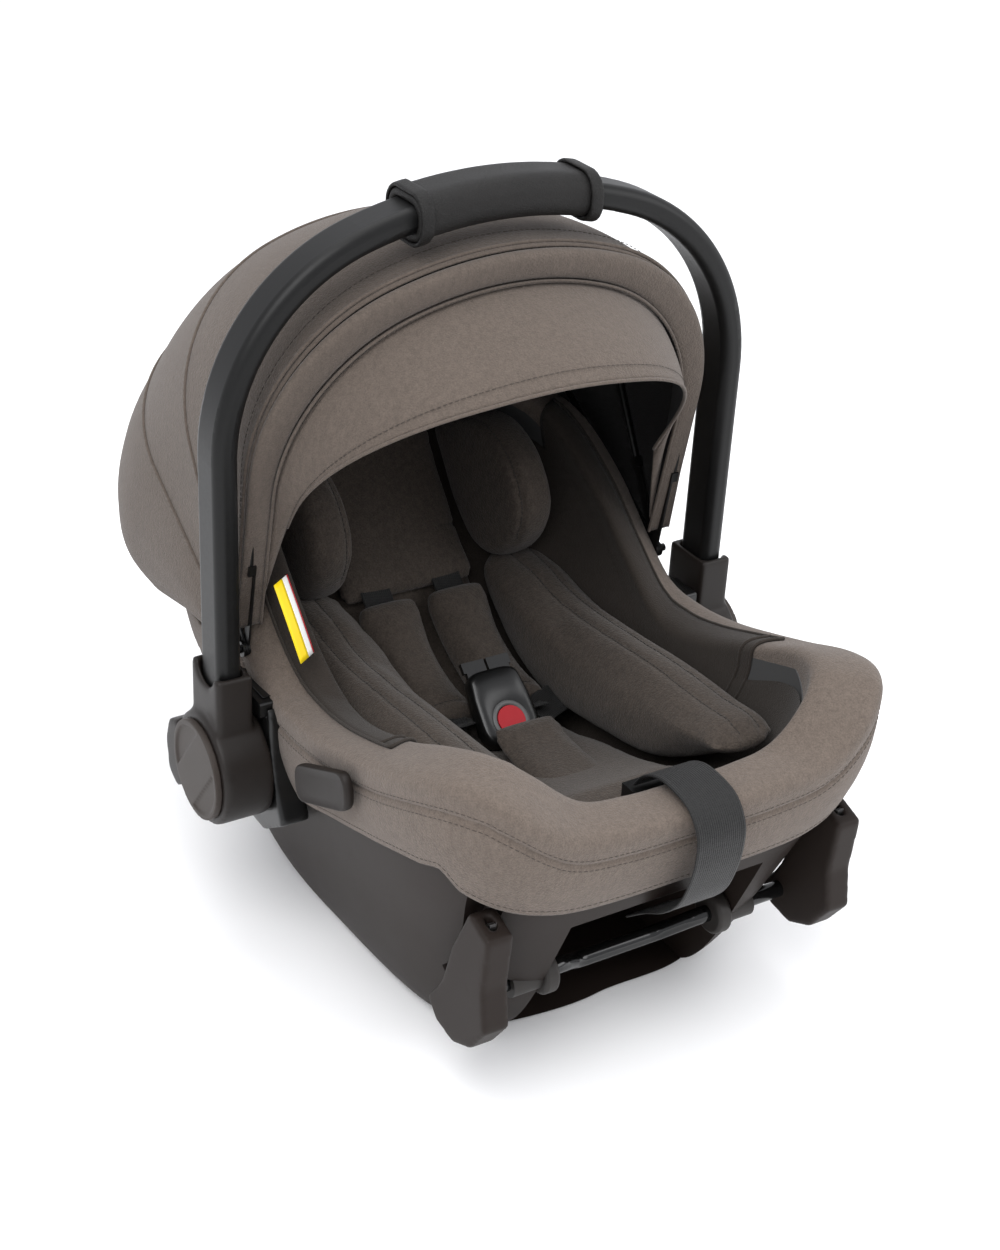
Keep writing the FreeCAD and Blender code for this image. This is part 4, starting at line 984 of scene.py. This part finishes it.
rings = []
waist = 1 - 0.10 * np.exp(-((np.sin(turn) * 30 - 10) / 12) ** 2)
for height, scale in ((-7.5, 0.90), (-6.0, 0.98), (-3.0, 1.0), (3.5, 1.0), (6.2, 0.97), (7.6, 0.90)):
    ring = oval(BUCKLE_SIDES, 24.5 * scale, 30 * scale, 4.0)
    rings.append(np.stack([ring[:, 0] * waist, ring[:, 1] + 4, np.full(BUCKLE_SIDES, height)], -1))
for scale in (0.62, 0.58):
    rings.append(button_ring(24 * scale, 21 * scale, 8.0 - (0.62 - scale) * 20))
rings += [button_ring(11.4, 11.4, height) for height in (5.0, 1.0)]
dress(loft("buckle_case", [on_buckle(r) for r in rings]), "black", "shell", ["buckle_housing"])
ring_rows = []
for radius, height in ((15.6, 7.4), (15.2, 8.3), (13.6, 8.6), (12.0, 8.3), (11.5, 7.0), (11.5, 5.0)):
    ring_rows.append(on_buckle(button_ring(radius * 0.95, radius, height)))
dress(surface("buckle_lens", ring_rows, wrap=True), "grey", "shell")

# ------------------------------------------------------------------ wing linings and piping


WING_FIRST_ROW = -18  # half way over the rim's roll


def wing_lining(sign, word):
    """The smooth darker panel over the inner half of the rim, with a piped edge."""
    plan = cover_rows[8]
    low_y, high_y = -176.0, 128.0
    picked = [j for j in range(PERIMETER) if low_y < plan[j, 1] < high_y and plan[j, 0] * sign > 60]
    picked.sort(key=lambda j: plan[j, 1])
    patch = cover_rows[WING_FIRST_ROW:, picked]
    ahead = np.gradient(patch, axis=1)
    down = np.gradient(patch, axis=0)
    out = np.cross(down, ahead)
    out /= np.linalg.norm(out, axis=2, keepdims=True) + 1e-9
    if (out[3, :, 2]).mean() < 0:
        out = -out
    patch = patch + out * 1.0
    panel = surface("wing_lining_" + word, patch)
    thicken(panel, 1.0, -1)
    dress(panel, "lining", "shell")
    edge = patch[0] + out[0] * 0.3
    tube = tube_along("wing_piping_" + word, edge, 1.1)
    dress(tube, "lining", "shell")
    for number, column in enumerate((0, 3)):
        line = patch[:, column] + out[:, column] * 0.5
        dress(tube_along("wing_piping_end_%s_%d" % (word, number), line, 1.3), "lining", "shell")


wing_lining(1, "right")
wing_lining(-1, "left")

# ------------------------------------------------------------------ sewn lines on cover and canopy


def open_run(points, keep_test):
    """The longest run of points along a closed line that pass a test."""
    n = len(points)
    good = [bool(keep_test(p)) for p in points]
    if all(good):
        return points
    start = next(i for i in range(n) if not good[i])
    best, run = [], []
    for i in range(start, start + n):
        if good[i % n]:
            run.append(points[i % n])
        else:
            best, run = (run if len(run) > len(best) else best), []
    return np.array(run if len(run) > len(best) else best)


for offset, word in ((4.2, "above"), (-4.2, "below")):
    ring = tub(SHELL_LEVELS, angles, rim_top - SEAM_DROP + offset, COVER_GROW + 1.0)
    line = open_run(ring, lambda p: p[1] < 60)
    thread = stitches("cover_stitch_" + word, on_surface(cover, line, 0.05), 4.2, 2.8, 0.28)
    dress(thread, "thread", "shell")
hem_ring = tub(SHELL_LEVELS, angles, hem_low + 7, COVER_GROW + 0.6)
dress(stitches("cover_hem_stitch", on_surface(cover, np.concatenate([hem_ring, hem_ring[:1]]), 0.05),
               4.2, 2.8, 0.28), "thread", "shell")


def canopy_stitch(name, top, degrees, half, leg, body):
    line = lean(arch(half, top, leg, 400), degrees)
    return dress(stitches(name, line, 4.4, 3.0, 0.28), "thread", body)


canopy_stitch("front_seam_stitch_a", 290.2, 5.0, 182.7, 40, "canopy_front")
canopy_stitch("visor_seam_stitch", 268.6, 12.0, 165.8, 60, "canopy_front")
for degrees, top, half, body, word in ((-30, 293.6, 182.2, "canopy_mid", "mid"),
                                       (-60, 306.2, 182.4, "canopy_rear", "rear")):
    pipe = tube_along("canopy_piping_" + word, lean(arch(half, top, 20, 240), degrees), 1.5)
    dress(pipe, "canopy", body)
outer_edge = lean(arch(184.2, 289.6, 20, 240), 8.4)
dress(tube_along("rim_piping_outer", outer_edge, 1.4), "canopy", "canopy_front")
inner_edge = lean(arch(165.6, 267.6, 20, 240, 140), 11.6)
dress(tube_along("rim_piping_inner", inner_edge, 1.2), "canopy", "canopy_front")
visor_hem = np.array(visor_rows[-1])
dress(tube_along("visor_hem", visor_hem, 1.3), "visor", "visor")
hem_thread = stitches("visor_hem_stitch", visor_rows[-4] + np.array([0, -0.6, 0.9]), 4.2, 3.0, 0.28)
dress(hem_thread, "thread", "visor")

# blank sewn-in label on the left side of the rim
LABEL = [(-166, -17, 286), (-164, -36, 262), (-160, -47, 238)]


def side_label():
    points = along_line(LABEL, 16)
    strips = {"yellow": (0.0, 0.60), "white": (0.60, 0.92), "red": (0.92, 1.0)}
    for look, (low, high) in strips.items():
        rows = []
        for share in np.linspace(low, high, 5):
            rows.append(points + np.array([14.0, 8.0, 1.6]) * share)
        piece = thicken(surface("side_label_" + look, rows), 0.6)
        dress(piece, look, "shell")


side_label()

# ------------------------------------------------------------------ camera, light, floor
CAMERA_PLACE = Vector((-0.7027, -1.1478, 0.9618))
CAMERA_AZIMUTH, CAMERA_ELEVATION, CAMERA_ROLL = (math.radians(v) for v in (-32.54, 29.30, 3.20))
LENS = 59.55


def camera():
    sin_a, cos_a = math.sin(CAMERA_AZIMUTH), math.cos(CAMERA_AZIMUTH)
    sin_e, cos_e = math.sin(CAMERA_ELEVATION), math.cos(CAMERA_ELEVATION)
    back = Vector((sin_a * cos_e, -cos_a * cos_e, sin_e))
    right = Vector((0, 0, 1)).cross(back).normalized()
    up = back.cross(right)
    cos_r, sin_r = math.cos(CAMERA_ROLL), math.sin(CAMERA_ROLL)
    x_axis = right * cos_r + up * sin_r
    y_axis = up * cos_r - right * sin_r
    data = bpy.data.cameras.new("camera")
    data.lens = LENS
    data.sensor_width = 36
    data.sensor_fit = "AUTO"
    obj = bpy.data.objects.new("camera", data)
    bpy.context.scene.collection.objects.link(obj)
    turn = Matrix((x_axis, y_axis, back)).transposed().to_4x4()
    obj.matrix_world = Matrix.Translation(CAMERA_PLACE) @ turn
    bpy.context.scene.camera = obj


def area_light(name, place, aim, size, power):
    data = bpy.data.lights.new(name, "AREA")
    data.shape = "RECTANGLE"
    data.size, data.size_y = size
    data.energy = power
    obj = bpy.data.objects.new(name, data)
    bpy.context.scene.collection.objects.link(obj)
    obj.location = place
    direction = Vector(aim) - Vector(place)
    obj.rotation_euler = direction.to_track_quat("-Z", "Y").to_euler()


def studio():
    world = bpy.data.worlds.new("world")
    world.use_nodes = True
    world.node_tree.nodes["Background"].inputs["Color"].default_value = (0.95, 0.96, 1.0, 1)
    world.node_tree.nodes["Background"].inputs["Strength"].default_value = 1.0
    bpy.context.scene.world = world
    area_light("key", (-1.2, -1.0, 2.2), (0, 0, 0.25), (1.6, 1.6), 40)
    area_light("fill", (1.8, -1.4, 1.3), (0, 0, 0.25), (1.6, 1.6), 22)
    area_light("top", (0.1, 0.5, 2.6), (0, 0, 0.3), (2.2, 2.2), 30)
    floor = make_mesh("floor", [(-6000, -6000, 0), (6000, -6000, 0), (6000, 6000, 0), (-6000, 6000, 0)],
                      [(0, 1, 2, 3)])
    n = Nodes("floor_paint")
    tone = n.noise(3.0, 2.0)
    floor.data.materials.append(
        n.finish(n.ramp(tone, [(0.3, (0.955, 0.955, 0.955)), (0.7, (0.97, 0.97, 0.97))]), 0.85))


camera()
studio()
bpy.context.scene.view_settings.view_transform = "Standard"
bpy.context.scene.view_settings.look = "None"

# ------------------------------------------------------------------ cloth crosses the canopy joints
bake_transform(front_cloth)
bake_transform(mid_cloth)
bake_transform(rear_cloth)
